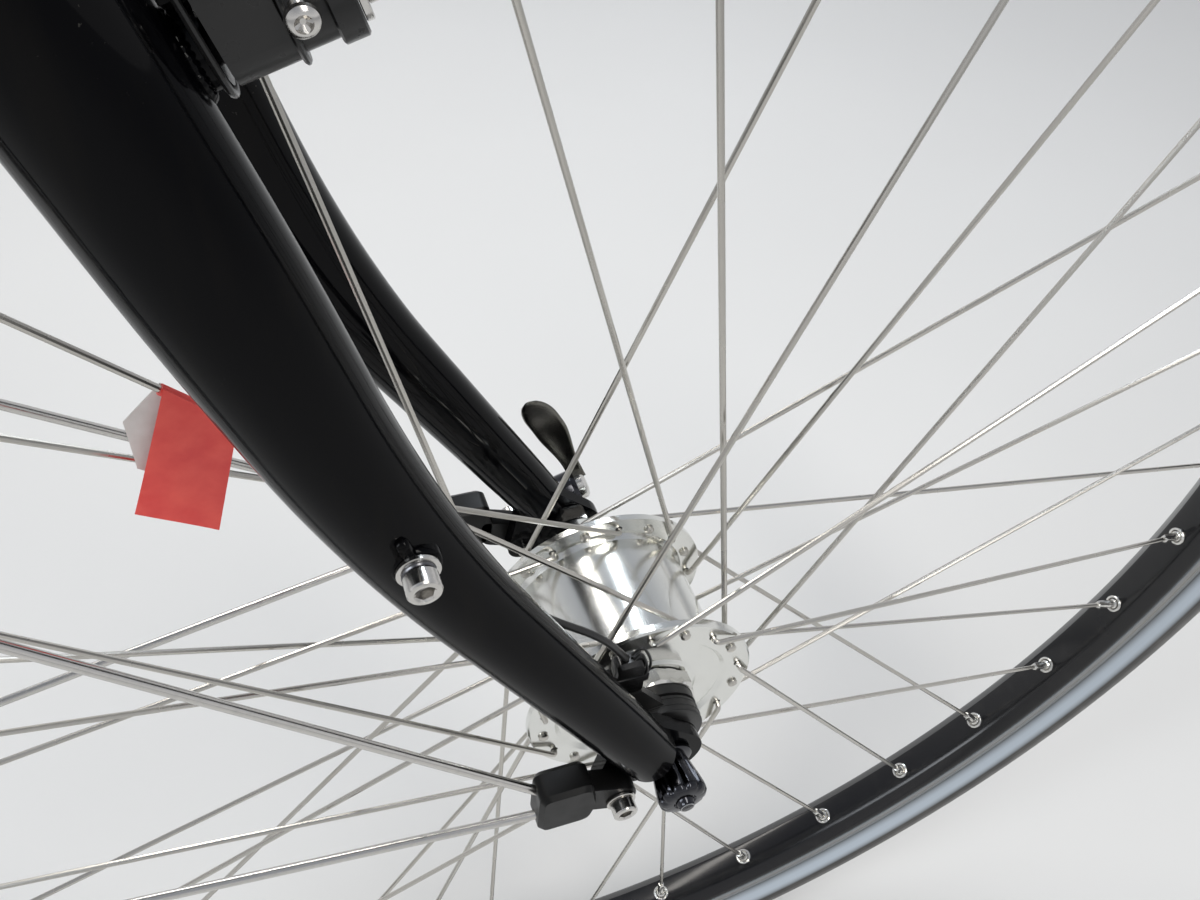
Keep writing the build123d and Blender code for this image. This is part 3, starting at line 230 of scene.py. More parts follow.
# Finishes
class Field:
    """A number or colour that changes over a surface, for use in ordinary sums."""

    def __init__(self, finish, socket):
        self.finish = finish
        self.socket = socket

    def sum(self, operation, first, second=0.0, clamp=False):
        return self.finish.node("Math", {"operation": operation, "use_clamp": clamp}, {0: first, 1: second})

    def __add__(self, other):
        return self.sum("ADD", self, other)

    def __sub__(self, other):
        return self.sum("SUBTRACT", self, other)

    def __rsub__(self, other):
        return self.sum("SUBTRACT", other, self)

    def __mul__(self, other):
        return self.sum("MULTIPLY", self, other)

    __radd__ = __add__
    __rmul__ = __mul__

    def sine(self):
        return self.sum("SINE", self)

    def clamped(self):
        return self.sum("ADD", self, clamp=True)

    def ramp(self, *stops):
        """Maps the number through (place, shade) stops."""
        return self.finish.node("ValToRGB", {"stops": stops}, {0: self})

    def part(self, name):
        """One of X, Y and Z."""
        return self.finish.node("SeparateXYZ", {}, {0: self}, name)


class Finish:
    """A material whose Principled shader is fed by fields."""

    def __init__(self, name, **constants):
        self.material = bpy.data.materials.new(name)
        self.material.use_nodes = True
        self.tree = self.material.node_tree
        self.shader = self.tree.nodes["Principled BSDF"]
        for socket, value in constants.items():
            self.set(socket.replace("_", " "), value)

    def set(self, socket, value):
        """Feeds one socket of the shader with a constant, a colour or a field."""
        entry = self.shader.inputs[socket]
        if isinstance(value, Field):
            self.tree.links.new(value.socket, entry)
        elif entry.type == "RGBA" and len(value) == 3:
            entry.default_value = (*value, 1.0)
        else:
            entry.default_value = value

    def node(self, kind, settings, inputs, output=0):
        """Adds a node, with its settings first, and gives one of its outputs."""
        node = self.tree.nodes.new("ShaderNode" + kind)
        for name, value in settings.items():
            if name == "stops":
                self.stops(node.color_ramp, value)
            else:
                setattr(node, name, value)
        for name, value in inputs.items():
            if isinstance(value, Field):
                self.tree.links.new(value.socket, node.inputs[name])
            elif isinstance(value, tuple) and node.inputs[name].type == "RGBA":
                node.inputs[name].default_value = (*value, 1.0)
            else:
                node.inputs[name].default_value = value
        return Field(self, node.outputs[output])

    def stops(self, ramp, stops):
        while len(ramp.elements) < len(stops):
            ramp.elements.new(0.5)
        for element, (place, shade) in zip(ramp.elements, stops):
            element.position = place
            element.color = (shade, shade, shade, 1.0)

    def spot(self):
        """The place on the piece, in metres."""
        return self.node("TexCoord", {}, {}, "Object")

    def noise(self, size, detail, stretch=(1, 1, 1), roughness=0.5):
        """Soft noise whose spots are about the given size in millimetres."""
        place = self.node("Mapping", {}, {"Vector": self.spot(), "Scale": stretch})
        inputs = {"Vector": place, "Scale": 1000 / size, "Detail": detail, "Roughness": roughness}
        return self.node("TexNoise", {}, inputs)

    def mix(self, share, low, high):
        """A colour between two, by a share from 0 to 1."""
        return self.node("Mix", {"data_type": "RGBA"}, {0: share, 6: low, 7: high}, 2)

    def colour(self, share, low, high):
        """Colours the surface between two, by a share from 0 to 1."""
        self.set("Base Color", self.mix(share, low, high))

    def rough(self, size, detail, *stops):
        """Varies the roughness in spots of the given size."""
        self.set("Roughness", self.noise(size, detail).ramp(*stops))

    def bump(self, height, depth):
        """Bumps the surface by a height from 0 to 1 that stands for a depth in millimetres."""
        inputs = {"Height": height, "Distance": depth * MM, "Strength": 1.0}
        self.set("Normal", self.node("Bump", {}, inputs))

    def from_axle(self):
        """How far the place is from the wheel's axle, in millimetres, and how far to the left."""
        hub = tuple(HUB * MM)
        offset = self.node("VectorMath", {"operation": "SUBTRACT"}, {0: self.spot(), 1: hub})
        flat = self.node("VectorMath", {"operation": "MULTIPLY"}, {0: offset, 1: (1, 0, 1)})
        radius = self.node("VectorMath", {"operation": "LENGTH"}, {0: flat}, "Value")
        return radius * 1000, offset.part("Y") * 1000


def gloss_paint():
    finish = Finish("gloss_black_paint", Coat_Weight=0.17, Coat_Roughness=0.04, IOR=1.08)
    streak = finish.noise(7, 4.0, (1.0, 1.0, 0.06)).ramp((0.5, 0), (0.7, 1))
    specks = finish.noise(0.9, 4.0).ramp((0.70, 0), (0.74, 1))
    dust = specks * finish.noise(60, 3.0).ramp((0.5, 0), (0.7, 1))
    paint = finish.mix(streak * 0.5, (0.001, 0.001, 0.0015), (0.004, 0.0035, 0.003))
    finish.colour(dust * 0.3, paint, (0.20, 0.19, 0.17))
    finish.set("Roughness", finish.noise(18, 4.0).ramp((0.3, 0.12), (0.75, 0.26)) + dust * 0.3)
    finish.bump(finish.noise(1.6, 1.0), 0.003)
    return finish.material


def satin_black(name, shade, rough):
    finish = Finish(name, Coat_Weight=0.25, Coat_Roughness=0.3, IOR=1.35)
    wear = finish.noise(9, 6.0).ramp((0.62, 0), (0.8, 1))
    finish.colour(wear * 0.3, (shade,) * 3, (shade * 4,) * 3)
    finish.rough(5, 5.0, (0.3, rough - 0.06), (0.8, rough + 0.12))
    finish.bump(finish.noise(0.35, 2.0), 0.01)
    return finish.material


def rim_finish():
    finish = Finish("black_anodised_rim", Coat_Weight=0.5, Coat_Roughness=0.12, IOR=1.3)
    radius, _ = finish.from_axle()
    track = ((radius - RIM_SHOULDER_R - 3.0) * 2.0).clamped() * ((RIM_TOP_R - 1.0 - radius) * 2.0).clamped()
    turned = (radius * 9.0).sine() * track
    dust = finish.noise(7, 5.0).ramp((0.55, 0), (0.8, 1))
    anodised = finish.mix(dust * 0.12, (0.004, 0.004, 0.005), (0.06, 0.057, 0.052))
    finish.colour(track, anodised, (0.27, 0.262, 0.245))
    finish.set("Metallic", track * 0.9)
    finish.set("Roughness", finish.noise(12, 4.0).ramp((0.3, 0.18), (0.8, 0.30)) + track * 0.12)
    finish.bump(turned + finish.noise(0.5, 2.0) * 0.6, 0.006)
    return finish.material


def polished_aluminium():
    finish = Finish("polished_aluminium", Metallic=1.0)
    radius, left = finish.from_axle()
    turned = (left * 24.0 + radius * 24.0).sine() * 0.3 + finish.noise(0.5, 3.0, (0.05, 9, 0.05))
    grime = finish.noise(14, 5.0).ramp((0.55, 0), (0.85, 1))
    finish.colour(grime * 0.3, (0.78, 0.785, 0.755), (0.58, 0.565, 0.52))
    finish.rough(9, 3.0, (0.25, 0.15), (0.85, 0.22))
    finish.bump(turned, 0.0015)
    return finish.material


def bright_steel(name, shade, rough, spots=2.2, depth=0.004):
    finish = Finish(name, Metallic=1.0)
    stain = finish.noise(spots, 5.0).ramp((0.52, 0), (0.85, 1))
    finish.colour(stain * 0.4, shade, tuple(c * 0.66 for c in shade))
    finish.rough(spots, 3.0, (0.25, rough), (0.85, rough + 0.12))
    finish.bump(finish.noise(0.4, 2.0), depth)
    return finish.material


def moulded_plastic(name, shade, rough, grain=0.5, depth=0.02, worn=0.3, ior=1.49):
    finish = Finish(name, IOR=ior)
    scuff = finish.noise(6, 7.0, roughness=0.7).ramp((0.58, 0), (0.76, 1))
    finish.colour(scuff * worn, (shade,) * 3, (shade * 5,) * 3)
    finish.rough(8, 4.0, (0.3, rough - 0.07), (0.8, rough + 0.1))
    finish.bump(finish.noise(grain, 3.0), depth)
    return finish.material


def tyre_rubber():
    finish = Finish("tyre_rubber", Sheen_Weight=0.15, Sheen_Roughness=0.4)
    radius, _ = finish.from_axle()
    wall = ((WIDE_R + 2.0 - radius) * 0.5).clamped() * ((radius - STRIPE_HIGHLIGHT_R[1]) * 2.0).clamped()
    ribs = (radius * 5.2).sine() * wall
    dust = finish.noise(22, 7.0, roughness=0.62).ramp((0.38, 0), (0.75, 1))
    # Reflective stripe ring on both walls. Its colour is partly painted highlight: bluish, brightest in its middle
    # and soft at its edges.
    stripe_and_highlight = (STRIPE_HIGHLIGHT_PEAK * (radius - STRIPE_HIGHLIGHT_R[0]) * (STRIPE_HIGHLIGHT_R[1] - radius)).clamped()
    rubber = finish.mix(dust * 0.6, (0.040, 0.038, 0.036), (0.105, 0.097, 0.088))
    # The bluish white is a painted highlight laid over the grey of a reflective stripe
    finish.colour(stripe_and_highlight, rubber, (0.46, 0.52, 0.58))
    finish.rough(9, 5.0, (0.3, 0.38), (0.8, 0.58))
    finish.bump(ribs * 0.6 + finish.noise(0.6, 4.0), 0.05)
    return finish.material


def soft_rubber():
    finish = Finish("black_rubber")
    dust = finish.noise(5, 6.0).ramp((0.45, 0), (0.8, 1))
    finish.colour(dust, (0.016,) * 3, (0.05,) * 3)
    finish.rough(3, 4.0, (0.3, 0.6), (0.8, 0.85))
    finish.bump(finish.noise(0.7, 4.0), 0.03)
    return finish.material


def tape(name, low, high):
    finish = Finish(name, Coat_Weight=0.3, Coat_Roughness=0.25)
    crease = finish.noise(7, 4.0)
    # Painted shade: the tape is coloured darker in the hollows of its creases and lighter on their ridges
    finish.colour(crease.ramp((0.3, 0), (0.8, 1)), low, high)
    finish.set("Roughness", crease.ramp((0.3, 0.38), (0.8, 0.55)))
    finish.bump(crease, 0.2)
    return finish.material


def lamp_glass():
    finish = Finish("lamp_glass", Transmission_Weight=1.0, IOR=1.49)
    finish.colour(finish.noise(30, 2.0), (0.93, 0.95, 0.97), (0.97, 0.98, 1.0))
    finish.rough(6, 4.0, (0.3, 0.02), (0.8, 0.08))
    return finish.material


spoke_steel = bright_steel("spoke_steel", (0.56, 0.54, 0.50), 0.22, 40, 0.0)
nickel = bright_steel("nickel_plate", (0.72, 0.71, 0.68), 0.16, 6, 0.001)
dark_metal = bright_steel("dark_polished_metal", (0.16, 0.16, 0.17), 0.20)
lever_metal = bright_steel("dark_polished_lever", (0.16, 0.155, 0.14), 0.14, 12, 0.001)
clip_plastic = moulded_plastic("clip_plastic", 0.005, 0.36, 0.6, 0.008, ior=1.27)
plug_gloss = moulded_plastic("glossy_plug_plastic", 0.006, 0.18, 3.0, 0.006, 0.1)
release_black = bright_steel("black_plated_alloy", (0.055, 0.056, 0.062), 0.10, 9, 0.001)
tape_back = tape("pale_tape_back", (0.70, 0.66, 0.62), (0.84, 0.82, 0.79))
pale_source = moulded_plastic("pale_lamp_source", 0.16, 0.45)
FINISHES = {
    "gloss_black": gloss_paint(),
    "frame_black": satin_black("satin_black_steel", 0.02, 0.38),
    "satin_black": satin_black("satin_black_alloy", 0.010, 0.30),
    "rim_black": rim_finish(),
    "hub_aluminium": polished_aluminium(),
    "dark_aluminium": dark_metal,
    "stainless": bright_steel("stainless_steel", (0.62, 0.605, 0.58), 0.16),
    "steel": bright_steel("zinc_plated_steel", (0.50, 0.50, 0.51), 0.26),
    "black_plastic": moulded_plastic("black_plastic", 0.012, 0.42),
    "guard_plastic": moulded_plastic("mudguard_plastic", 0.012, 0.28, 2.5, 0.01, 0.1),
    "flap_rubber": soft_rubber(),
    "pad_rubber": soft_rubber(),
    "wire_rubber": moulded_plastic("wire_sheath", 0.012, 0.40, 1.2, 0.01),
    "tyre_rubber": tyre_rubber(),
    "lens": lamp_glass(),
    "red_tape": tape("red_tape", (0.78, 0.035, 0.03), (0.92, 0.10, 0.07)),
}
for subpart in frame["record"]["subparts"]:
    mesh = frame["nodes"][subpart["node"]].data
    mesh.materials.clear()
    mesh.materials.append(FINISHES[subpart["material_slot"]])


# Shapes
def add_object(name, data):
    obj = bpy.data.objects.new(name, data)
    bpy.context.scene.collection.objects.link(obj)
    return obj


def seat(origin, axis, across=None):
    """A frame at a place in millimetres, with its Z along an axis and its X near another direction."""
    up = Vector(axis).normalized()
    side = Vector(across) if across else up.orthogonal()
    side = (side - up * side.dot(up)).normalized()
    turn = Matrix((side, up.cross(side), up)).transposed().to_4x4()
    return Matrix.Translation(origin) @ turn


def turns(count):
    return [2 * math.pi * step / count for step in range(count)]


def polar(reaches):
    """A closed outline, from how far it reaches at evenly spaced angles."""
    return [(reach * math.cos(a), reach * math.sin(a)) for reach, a in zip(reaches, turns(len(reaches)))]


def circle(radius, sides):
    return polar([radius] * sides)


def facets(radius, corners, sides=48):
    """A regular polygon with as many points as a circle, so that the two can be joined."""
    half = math.pi / corners
    return polar([radius * math.cos(half) / math.cos(a % (2 * half) - half) for a in turns(sides)])


def oblong(wide, high):
    """A rectangle about the middle, by its half width and half height."""
    return [(-wide, -high), (wide, -high), (wide, high), (-wide, high)]


def rounded(corners, radius, steps=4):
    """A closed outline with its corners rounded."""
    outline = []
    for before, here, after in zip(corners[-1:] + corners[:-1], corners, corners[1:] + corners[:1]):
        here = Vector(here)
        into = Vector(before) - here
        out = Vector(after) - here
        start = here + into.normalized() * min(radius, into.length * 0.45)
        end = here + out.normalized() * min(radius, out.length * 0.45)
        for step in range(steps + 1):
            t = step / steps
            outline.append(start * (1 - t) ** 2 + here * 2 * t * (1 - t) + end * t**2)
    return outline


def bend(points, steps=8):
    """A smooth line through points."""
    line = []
    padded = [points[0] * 2 - points[1]] + points + [points[-1] * 2 - points[-2]]
    for a, b, c, d in zip(padded, padded[1:], padded[2:], padded[3:]):
        for step in range(steps):
            t = step / steps
            line.append((b * 2 + (c - a) * t + (a * 2 - b * 5 + c * 4 - d) * t**2
                         + (b * 3 - a - c * 3 + d) * t**3) / 2)
    return line + [points[-1]]


class Shape:
    """A mesh in the making, in millimetres."""

    def __init__(self):
        self.mesh = bmesh.new()

    def ring(self, place, outline, height=0.0):
        return [self.mesh.verts.new(place @ Vector((x, y, height))) for x, y in outline]

    def skin(self, rings, loop=False):
        """Joins rings of equal counts, as a tube or as a closed loop."""
        for low, high in zip(rings, rings[1:] + (rings[:1] if loop else [])):
            for here, there in zip(range(len(low)), list(range(1, len(low))) + [0]):
                self.mesh.faces.new((low[here], low[there], high[there], high[here]))
        if not loop:
            self.mesh.faces.new(rings[0])
            self.mesh.faces.new(rings[-1])

    def lathe(self, place, profile, sides):
        """Turns (height, radius) rows about the frame's Z. A radius may be an outline instead."""
        rings = []
        for height, edge in profile:
            outline = edge if isinstance(edge, list) else circle(edge, sides)
            rings.append(self.ring(place, outline, height))
        self.skin(rings)

    def disc(self, place, low, high, radius, bevel=(0.3, 0.2), sides=40):
        """A washer or collar between two heights. Its bevel goes so far in and so far along."""
        inward, along = bevel
        edge = radius - inward
        self.lathe(place, ((low, edge), (low + along, radius), (high - along, radius), (high, edge)), sides)

    def slab(self, place, outline, low, high, soft=0.4):
        """A flat block whose top and bottom edges are softened."""
        middle = sum((Vector(point) for point in outline), Vector((0, 0))) / len(outline)
        reach = max((Vector(point) - middle).length for point in outline)
        small = [middle + (Vector(point) - middle) * (1 - soft / reach) for point in outline]
        rows = ((low, small), (low + soft, outline), (high - soft, outline), (high, small))
        self.skin([self.ring(place, edge, height) for height, edge in rows])

    def tube(self, points, radius, sides):
        """A round tube along points. The radius may be a list, one for each point."""
        runs = [(b - a).normalized() for a, b in zip(points, points[1:])]
        ways = runs[:1] + [(a + b).normalized() for a, b in zip(runs, runs[1:])] + runs[-1:]
        sizes = radius if isinstance(radius, list) else [radius] * len(points)
        across = ways[0].orthogonal()
        rings = []
        for point, way, size in zip(points, ways, sizes):
            place = seat(point, way, across)
            across = place.to_3x3().col[0]
            rings.append(self.ring(place, circle(size, sides)))
        self.skin(rings)

    def cap_screw(self, place, radius, height, socket):
        """A socket head that stands on the frame's XY plane."""
        hexagon = facets(socket, 6)
        self.lathe(place, (
            (0.0, radius - 0.3), (0.3, radius), (height - 0.7, radius), (height - 0.2, radius - 0.35),
            (height, radius - 0.8), (height, socket * 1.16), (height - 0.45, hexagon),
            (height - height * 0.62, hexagon), (height - height * 0.7, socket * 0.5),
        ), 48)

    def hex_nut(self, place, radius, height):
        hexagon = facets(radius, 6)
        inner = radius * math.cos(math.pi / 6)
        self.lathe(place, ((0, inner), (0.5, hexagon), (height - 0.6, hexagon), (height, inner)), 48)

    def wheel_band(self, section, angles, loop=True, cut=None):
        """Turns a closed (left, radius) section about the axle. A cut gives how deep each point lies."""
        rings = []
        for step, angle in enumerate(angles):
            depths = [cut(step, index) if cut else 0.0 for index in range(len(section))]
            places = [wheel_point(angle, r - depth, -left) for (left, r), depth in zip(section, depths)]
            rings.append([self.mesh.verts.new(place) for place in places])
        self.skin(rings, loop)

    def piece(self, name, slot, body, replaces=(), sharp=35, finish=None):
        """Ends the mesh as a piece that rides on a body, in its slot's finish or one of its own."""
        bmesh.ops.recalc_face_normals(self.mesh, faces=self.mesh.faces)
        bmesh.ops.scale(self.mesh, vec=(MM,) * 3, verts=self.mesh.verts)
        mesh = bpy.data.meshes.new(name)
        self.mesh.to_mesh(mesh)
        self.mesh.free()
        mesh.shade_smooth()
        mesh.set_sharp_from_angle(angle=math.radians(sharp))
        mesh.materials.append(finish or FINISHES[slot])
        obj = add_object(name, mesh)
        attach(obj, body)
        if replaces:
            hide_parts(*replaces)


def fork_point(fore, left, up):
    """A place given along the fork: ahead of the steering axis, to the left, and up it."""
    return STEER_FORE * fore + LEFT * left + STEER_UP * up


def wheel_point(angle, radius, right=0.0):
    a = math.radians(angle)
    return HUB + Vector((math.cos(a), 0, math.sin(a))) * radius + RIGHT * right


# Fork blades
def blade_centre(drop, sign):
    run = RAKE_BEND_R * math.sin(RAKE_TURN)
    bent = min(max(0.0, drop - RAKE_START_DROP), run)
    fore = RAKE_BEND_R * (1 - math.cos(math.asin(bent / RAKE_BEND_R)))
    fore += max(0.0, drop - RAKE_START_DROP - run) * math.tan(RAKE_TURN)
    share = (drop - CROWN_BEND_DROP) / (BLADE_TIP_DROP - CROWN_BEND_DROP)
    left = BLADE_TOP_LEFT + (BLADE_TIP_LEFT - BLADE_TOP_LEFT) * share
    return fork_point(fore, sign * left, -drop)


def blade_radius(drop):
    height = AXLE_TO_CROWN - drop
    for (high, wide), (low, narrow) in zip(BLADE_TAPER, BLADE_TAPER[1:]):
        if height >= low:
            return wide + (narrow - wide) * (high - height) / (high - low)
    return BLADE_TAPER[-1][1]


def blade_skin(side, sign):
    """Smooth painted surface over the straight and tapered parts of a blade."""
    shape = Shape()
    rows = bend([Vector((AXLE_TO_CROWN - height, radius)) for height, radius in BLADE_TAPER], 12)
    middles = [blade_centre(drop, sign) for drop, _ in rows]
    shape.tube(middles, [radius + PAINT_THICK for _, radius in rows], 64)
    shape.piece(f"blade_skin_{side}", "gloss_black", "fork", sharp=60)


# Spokes, nipples and eyelets
def spoke_rows():
    """Each spoke's side, flange's place to the right, side of its bend, turn and hole's angle."""
    step = 360 / HOLES_PER_FLANGE
    for hole in range(HOLES_PER_FLANGE):
        head_out = hole % 2 == 0
        turn = CROSS_ANGLE if head_out else -CROSS_ANGLE
        yield "right", FLANGE_RIGHT, -1 if head_out else 1, turn, SPOKE_PHASE + hole * step
        yield "left", -FLANGE_LEFT, 1 if head_out else -1, turn, SPOKE_PHASE + (hole + 0.5) * step


def spoke_line(flange, bend_side, turn, angle):
    """The middle of a spoke, from its head round its elbow to the rim."""
    head_depth = FLANGE_THICK / 2 + HEAD_STAND
    bend_depth = FLANGE_THICK / 2 + SPOKE_R + ELBOW_CLEARANCE
    head = wheel_point(angle, HOLE_CIRCLE_R, flange - bend_side * head_depth)
    elbow = wheel_point(angle, HOLE_CIRCLE_R, flange + bend_side * bend_depth)
    end = wheel_point(angle + turn, RIM_BED_R - NIPPLE_GAP)
    low = elbow + (head - elbow).normalized() * ELBOW_R
    high = elbow + (end - elbow).normalized() * ELBOW_R
    arc = [low * (1 - t) ** 2 + elbow * 2 * t * (1 - t) + high * t**2 for t in (0, 0.2, 0.4, 0.6, 0.8, 1)]
    return [head] + arc + [end]


def spokes(side):
    shape = Shape()
    for row_side, *row in spoke_rows():
        if row_side != side:
            continue
        line = spoke_line(*row)
        shape.tube(line, SPOKE_R, 10)
        out = (line[0] - line[1]).normalized()
        shape.lathe(seat(line[0], out), (
            (-0.9, 1.6), (-0.5, 1.85), (-0.1, 1.85), (0.25, 1.5), (0.5, 0.9), (0.6, 0.3),
        ), 16)
    shape.piece(f"laced_spokes_{side}", "stainless", "wheel", [f"spokes_{side}"], finish=spoke_steel)


def nipples():
    shape = Shape()
    rings = Shape()
    for _, *row in spoke_rows():
        line = spoke_line(*row)
        end = line[-1]
        inward = (line[-2] - end).normalized()
        axis = (HUB - end).normalized()
        shape.lathe(seat(end, inward), (
            (-1.0, 2.6), (0.8, 2.6), (1.6, 1.95), (4.6, 1.9), (5.1, facets(2.15, 4, 16)),
            (10.2, facets(2.15, 4, 16)), (10.8, 1.7), (11.4, 1.45), (11.5, 1.05),
        ), 16)
        rings.lathe(seat(end, axis), (
            (-1.2, 3.4), (0.35, 4.3), (0.75, 4.15), (1.05, 3.7), (1.0, 3.2), (0.5, 2.8), (-0.6, 2.6),
        ), 24)
    shape.piece("spoke_nipples", "stainless", "wheel", finish=nickel)
    rings.piece("rim_eyelets", "stainless", "wheel", finish=nickel)


# Tyre and rim
def mirrored(half):
    """A closed (left, radius) section from its left half, which runs from the outside to the inside."""
    return [(-left, radius) for left, radius in half] + [(left, radius) for left, radius in reversed(half)]


def tyre():
    """Casing with a tread whose grooves are cut into it."""
    half = []
    for step in range(1, CROWN_STEPS + 1):
        a = math.radians(90 - step * 90 / CROWN_STEPS)
        rise = (TYRE_R - WIDE_R) * math.sin(a) ** CROWN_SQUARENESS
        half.append((TYRE_HALF_WIDTH * math.cos(a), WIDE_R + rise))
    bead = RIM_HALF_WIDTH - RIM_HOOK
    for step in range(1, WALL_STEPS + 1):
        t = step / WALL_STEPS
        left = TYRE_HALF_WIDTH + (bead - TYRE_HALF_WIDTH) * t**WALL_FLARE
        half.append((left, WIDE_R + (RIM_TOP_R + BEAD_RISE - WIDE_R) * t))
    inner = bead - TYRE_WALL
    half += [(bead, RIM_WELL_R + BEAD_GAP), (inner, RIM_WELL_R + BEAD_GAP), (inner, RIM_TOP_R + 2.0)]
    for step in range(5):
        a = math.radians(step * 18)
        height = (TYRE_R - TYRE_CROWN - WIDE_R) * math.sin(a)
        half.append(((TYRE_HALF_WIDTH - TYRE_WALL) * math.cos(a), WIDE_R + height))
    section = [(0.0, TYRE_R)] + mirrored(half)
    edges = len(TREAD_EDGES)

    def cut(step, index):
        """Row 3 is a groove all round, rows 4 to 7 are shoulder blocks and row 1 is the middle rib."""
        row = min(index, len(section) - index)
        groove = (1, 2) if index < len(section) / 2 else (5, 6)
        if row == 3:
            return TREAD_DEPTH
        if 4 <= row <= 7 and step % edges in groove:
            return TREAD_DEPTH * (1 - 0.2 * (row - 4))
        if row == 1 and step % edges not in groove and step % 4 in (1, 2):
            return TREAD_DEPTH / 2
        return 0.0

    shape = Shape()
    starts = [pitch + edge for pitch in range(TREAD_PITCHES) for edge in TREAD_EDGES]
    shape.wheel_band(section, [start * 360 / TREAD_PITCHES for start in starts], cut=cut)
    shape.piece("tyre_with_tread", "tyre_rubber", "wheel", ["tyre"], 40)


def rim():
    """Box rim with soft corners, a brake track and hooked edges."""
    side = RIM_HALF_WIDTH
    half = [
        (RIM_BED_HALF_WIDTH - 1.0, RIM_BED_R), (RIM_BED_HALF_WIDTH + 1.0, RIM_BED_R + 0.6),
        (side - 1.1, RIM_SHOULDER_R - 0.9), (side - 0.2, RIM_SHOULDER_R + 0.3),
        (side, RIM_SHOULDER_R + 1.2),
        (side - 0.25, RIM_SHOULDER_R + 1.8), (side - 0.25, RIM_TOP_R - 5.8), (side - 0.5, RIM_TOP_R - 5.5),
        (side - 0.5, RIM_TOP_R - 5.0), (side - 0.25, RIM_TOP_R - 4.7), (side - 0.25, RIM_TOP_R - 1.0),
        (side - 0.6, RIM_TOP_R - 0.15), (side - 1.1, RIM_TOP_R), (side - 1.5, RIM_TOP_R - 0.3),
        (side - 1.6, RIM_TOP_R - 1.0), (side - 1.6, RIM_WELL_R),
    ]
    shape = Shape()
    shape.wheel_band(mirrored(half), range(0, 360, 2))
    shape.piece("rim_profile", "rim_black", "wheel", ["rim"], 25)


def valve():
    """Tube valve with its rim nut, threaded stem and knurled cap."""
    shape = Shape()
    foot = wheel_point(SPOKE_PHASE - VALVE_TURN, RIM_BED_R - 0.1)
    place = seat(foot, HUB - foot)
    shape.hex_nut(place, 6.4, 3.0)
    threads = []
    for turn in range(VALVE_THREADS):
        height = 3.0 + turn * VALVE_PITCH
        threads += [(height, 3.95), (height + 0.42, 3.5)]
    shape.lathe(place, threads + [(29.4, 3.4)], 24)
    grip = polar([4.55 - 0.35 * (step % 2) for step in range(48)])
    shape.lathe(place, ((28.4, 4.0), (28.8, grip), (36.5, grip), (38.2, 3.6), (39.4, 2.4)), 48)
    shape.piece("tube_valve", "black_plastic", "wheel", ["valve"])


# Screws and bosses on the blades
def blade_fittings(side, sign):
    centre = blade_centre(LOWRIDER_DROP, sign) + STEER_FORE * LOWRIDER_AHEAD
    outward = LEFT * sign
    reach = blade_radius(LOWRIDER_DROP)
    boss = Shape()
    place = seat(centre, outward, STEER_FORE)
    boss.lathe(place, ((reach - 3.0, 6.3), (reach - 0.6, 6.1), (reach + 0.3, 5.9), (reach + 0.6, 5.4)), 40)
    boss.piece(f"lowrider_boss_{side}", "gloss_black", "fork", sharp=60)

    stack = reach + 0.6
    top = stack + WASHER_THICK
    shape = Shape()
    shape.lathe(place, ((stack, 5.0), (stack + 0.15, 5.3), (top - 0.15, 5.3), (top, 5.0), (top, 3.0)), 48)
    under_head = centre + outward * (top + WASHER_THICK)
    shape.cap_screw(seat(under_head, outward, STEER_FORE), SCREW_R, SCREW_HEIGHT, SOCKET_R)
    shape.lathe(place, ((stack - 6.0, 2.1), (stack + 2.6, 2.1)), 24)
    shape.piece(f"lowrider_screw_{side}", "stainless", "fork", [f"blade_screw_{side}"], 30)

    spring = Shape()
    coil = []
    for step in range(33):
        a = 2 * math.pi * step / 34
        lift = outward * (stack + 1.75 + 0.35 * (step / 32 - 0.5))
        coil.append(centre + lift + (STEER_FORE * math.cos(a) + STEER_UP * math.sin(a)) * 3.7)
    spring.tube(coil, 0.6, 8)
    spring.piece(f"spring_washer_{side}", "steel", "fork", finish=dark_metal)


def cable_guide():
    """The small guide nub above the right-hand screw."""
    centre = blade_centre(GUIDE_DROP, -1) + STEER_FORE * GUIDE_AHEAD
    reach = blade_radius(GUIDE_DROP)
    shape = Shape()
    outline = rounded([(-3.2, -1.6), (3.4, -1.8), (3.4, 1.8), (-3.2, 1.6)], 1.4)
    shape.slab(seat(centre, RIGHT, -STEER_UP), outline, reach - 2.5, reach + 1.6, 0.8)
    shape.piece("cable_guide", "gloss_black", "fork", sharp=50)


def weld(shape, points, radius):
    """A rippled bead round a closed line."""
    count = len(points)
    sizes = [radius * (1 + 0.16 * math.sin(step * 2.1)) for step in range(count + 1)]
    shape.tube(points + points[:1], sizes, 10)


def blade_welds(side, sign):
    shape = Shape()
    crown = []
    boss = []
    for a in turns(96):
        reach = BLADE_TOP_LEFT + CROWN_TUBE_R * math.sin(a)
        fore = CROWN_TUBE_R * math.cos(a)
        lean = math.asin(math.sqrt(SLEEVE_R**2 - fore**2) / reach)
        up = reach * math.cos(lean) - CROWN_BEND_DROP
        crown.append(fork_point(fore, sign * reach * math.sin(lean), up))
        left = BRAKE_BOSS_LEFT + BRAKE_BOSS_R * math.cos(a)
        drop = BRAKE_BOSS_DROP + BRAKE_BOSS_R * math.sin(a)
        middle = blade_centre(drop, 1)
        wide = blade_radius(drop)
        depth = math.sqrt(max(0.0, wide**2 - (left - middle.dot(LEFT)) ** 2))
        boss.append(fork_point(middle.dot(STEER_FORE) + depth, sign * left, -drop))
    weld(shape, crown, 1.6)
    weld(shape, boss, 1.5)
    shape.piece(f"blade_welds_{side}", "gloss_black", "fork", sharp=80)


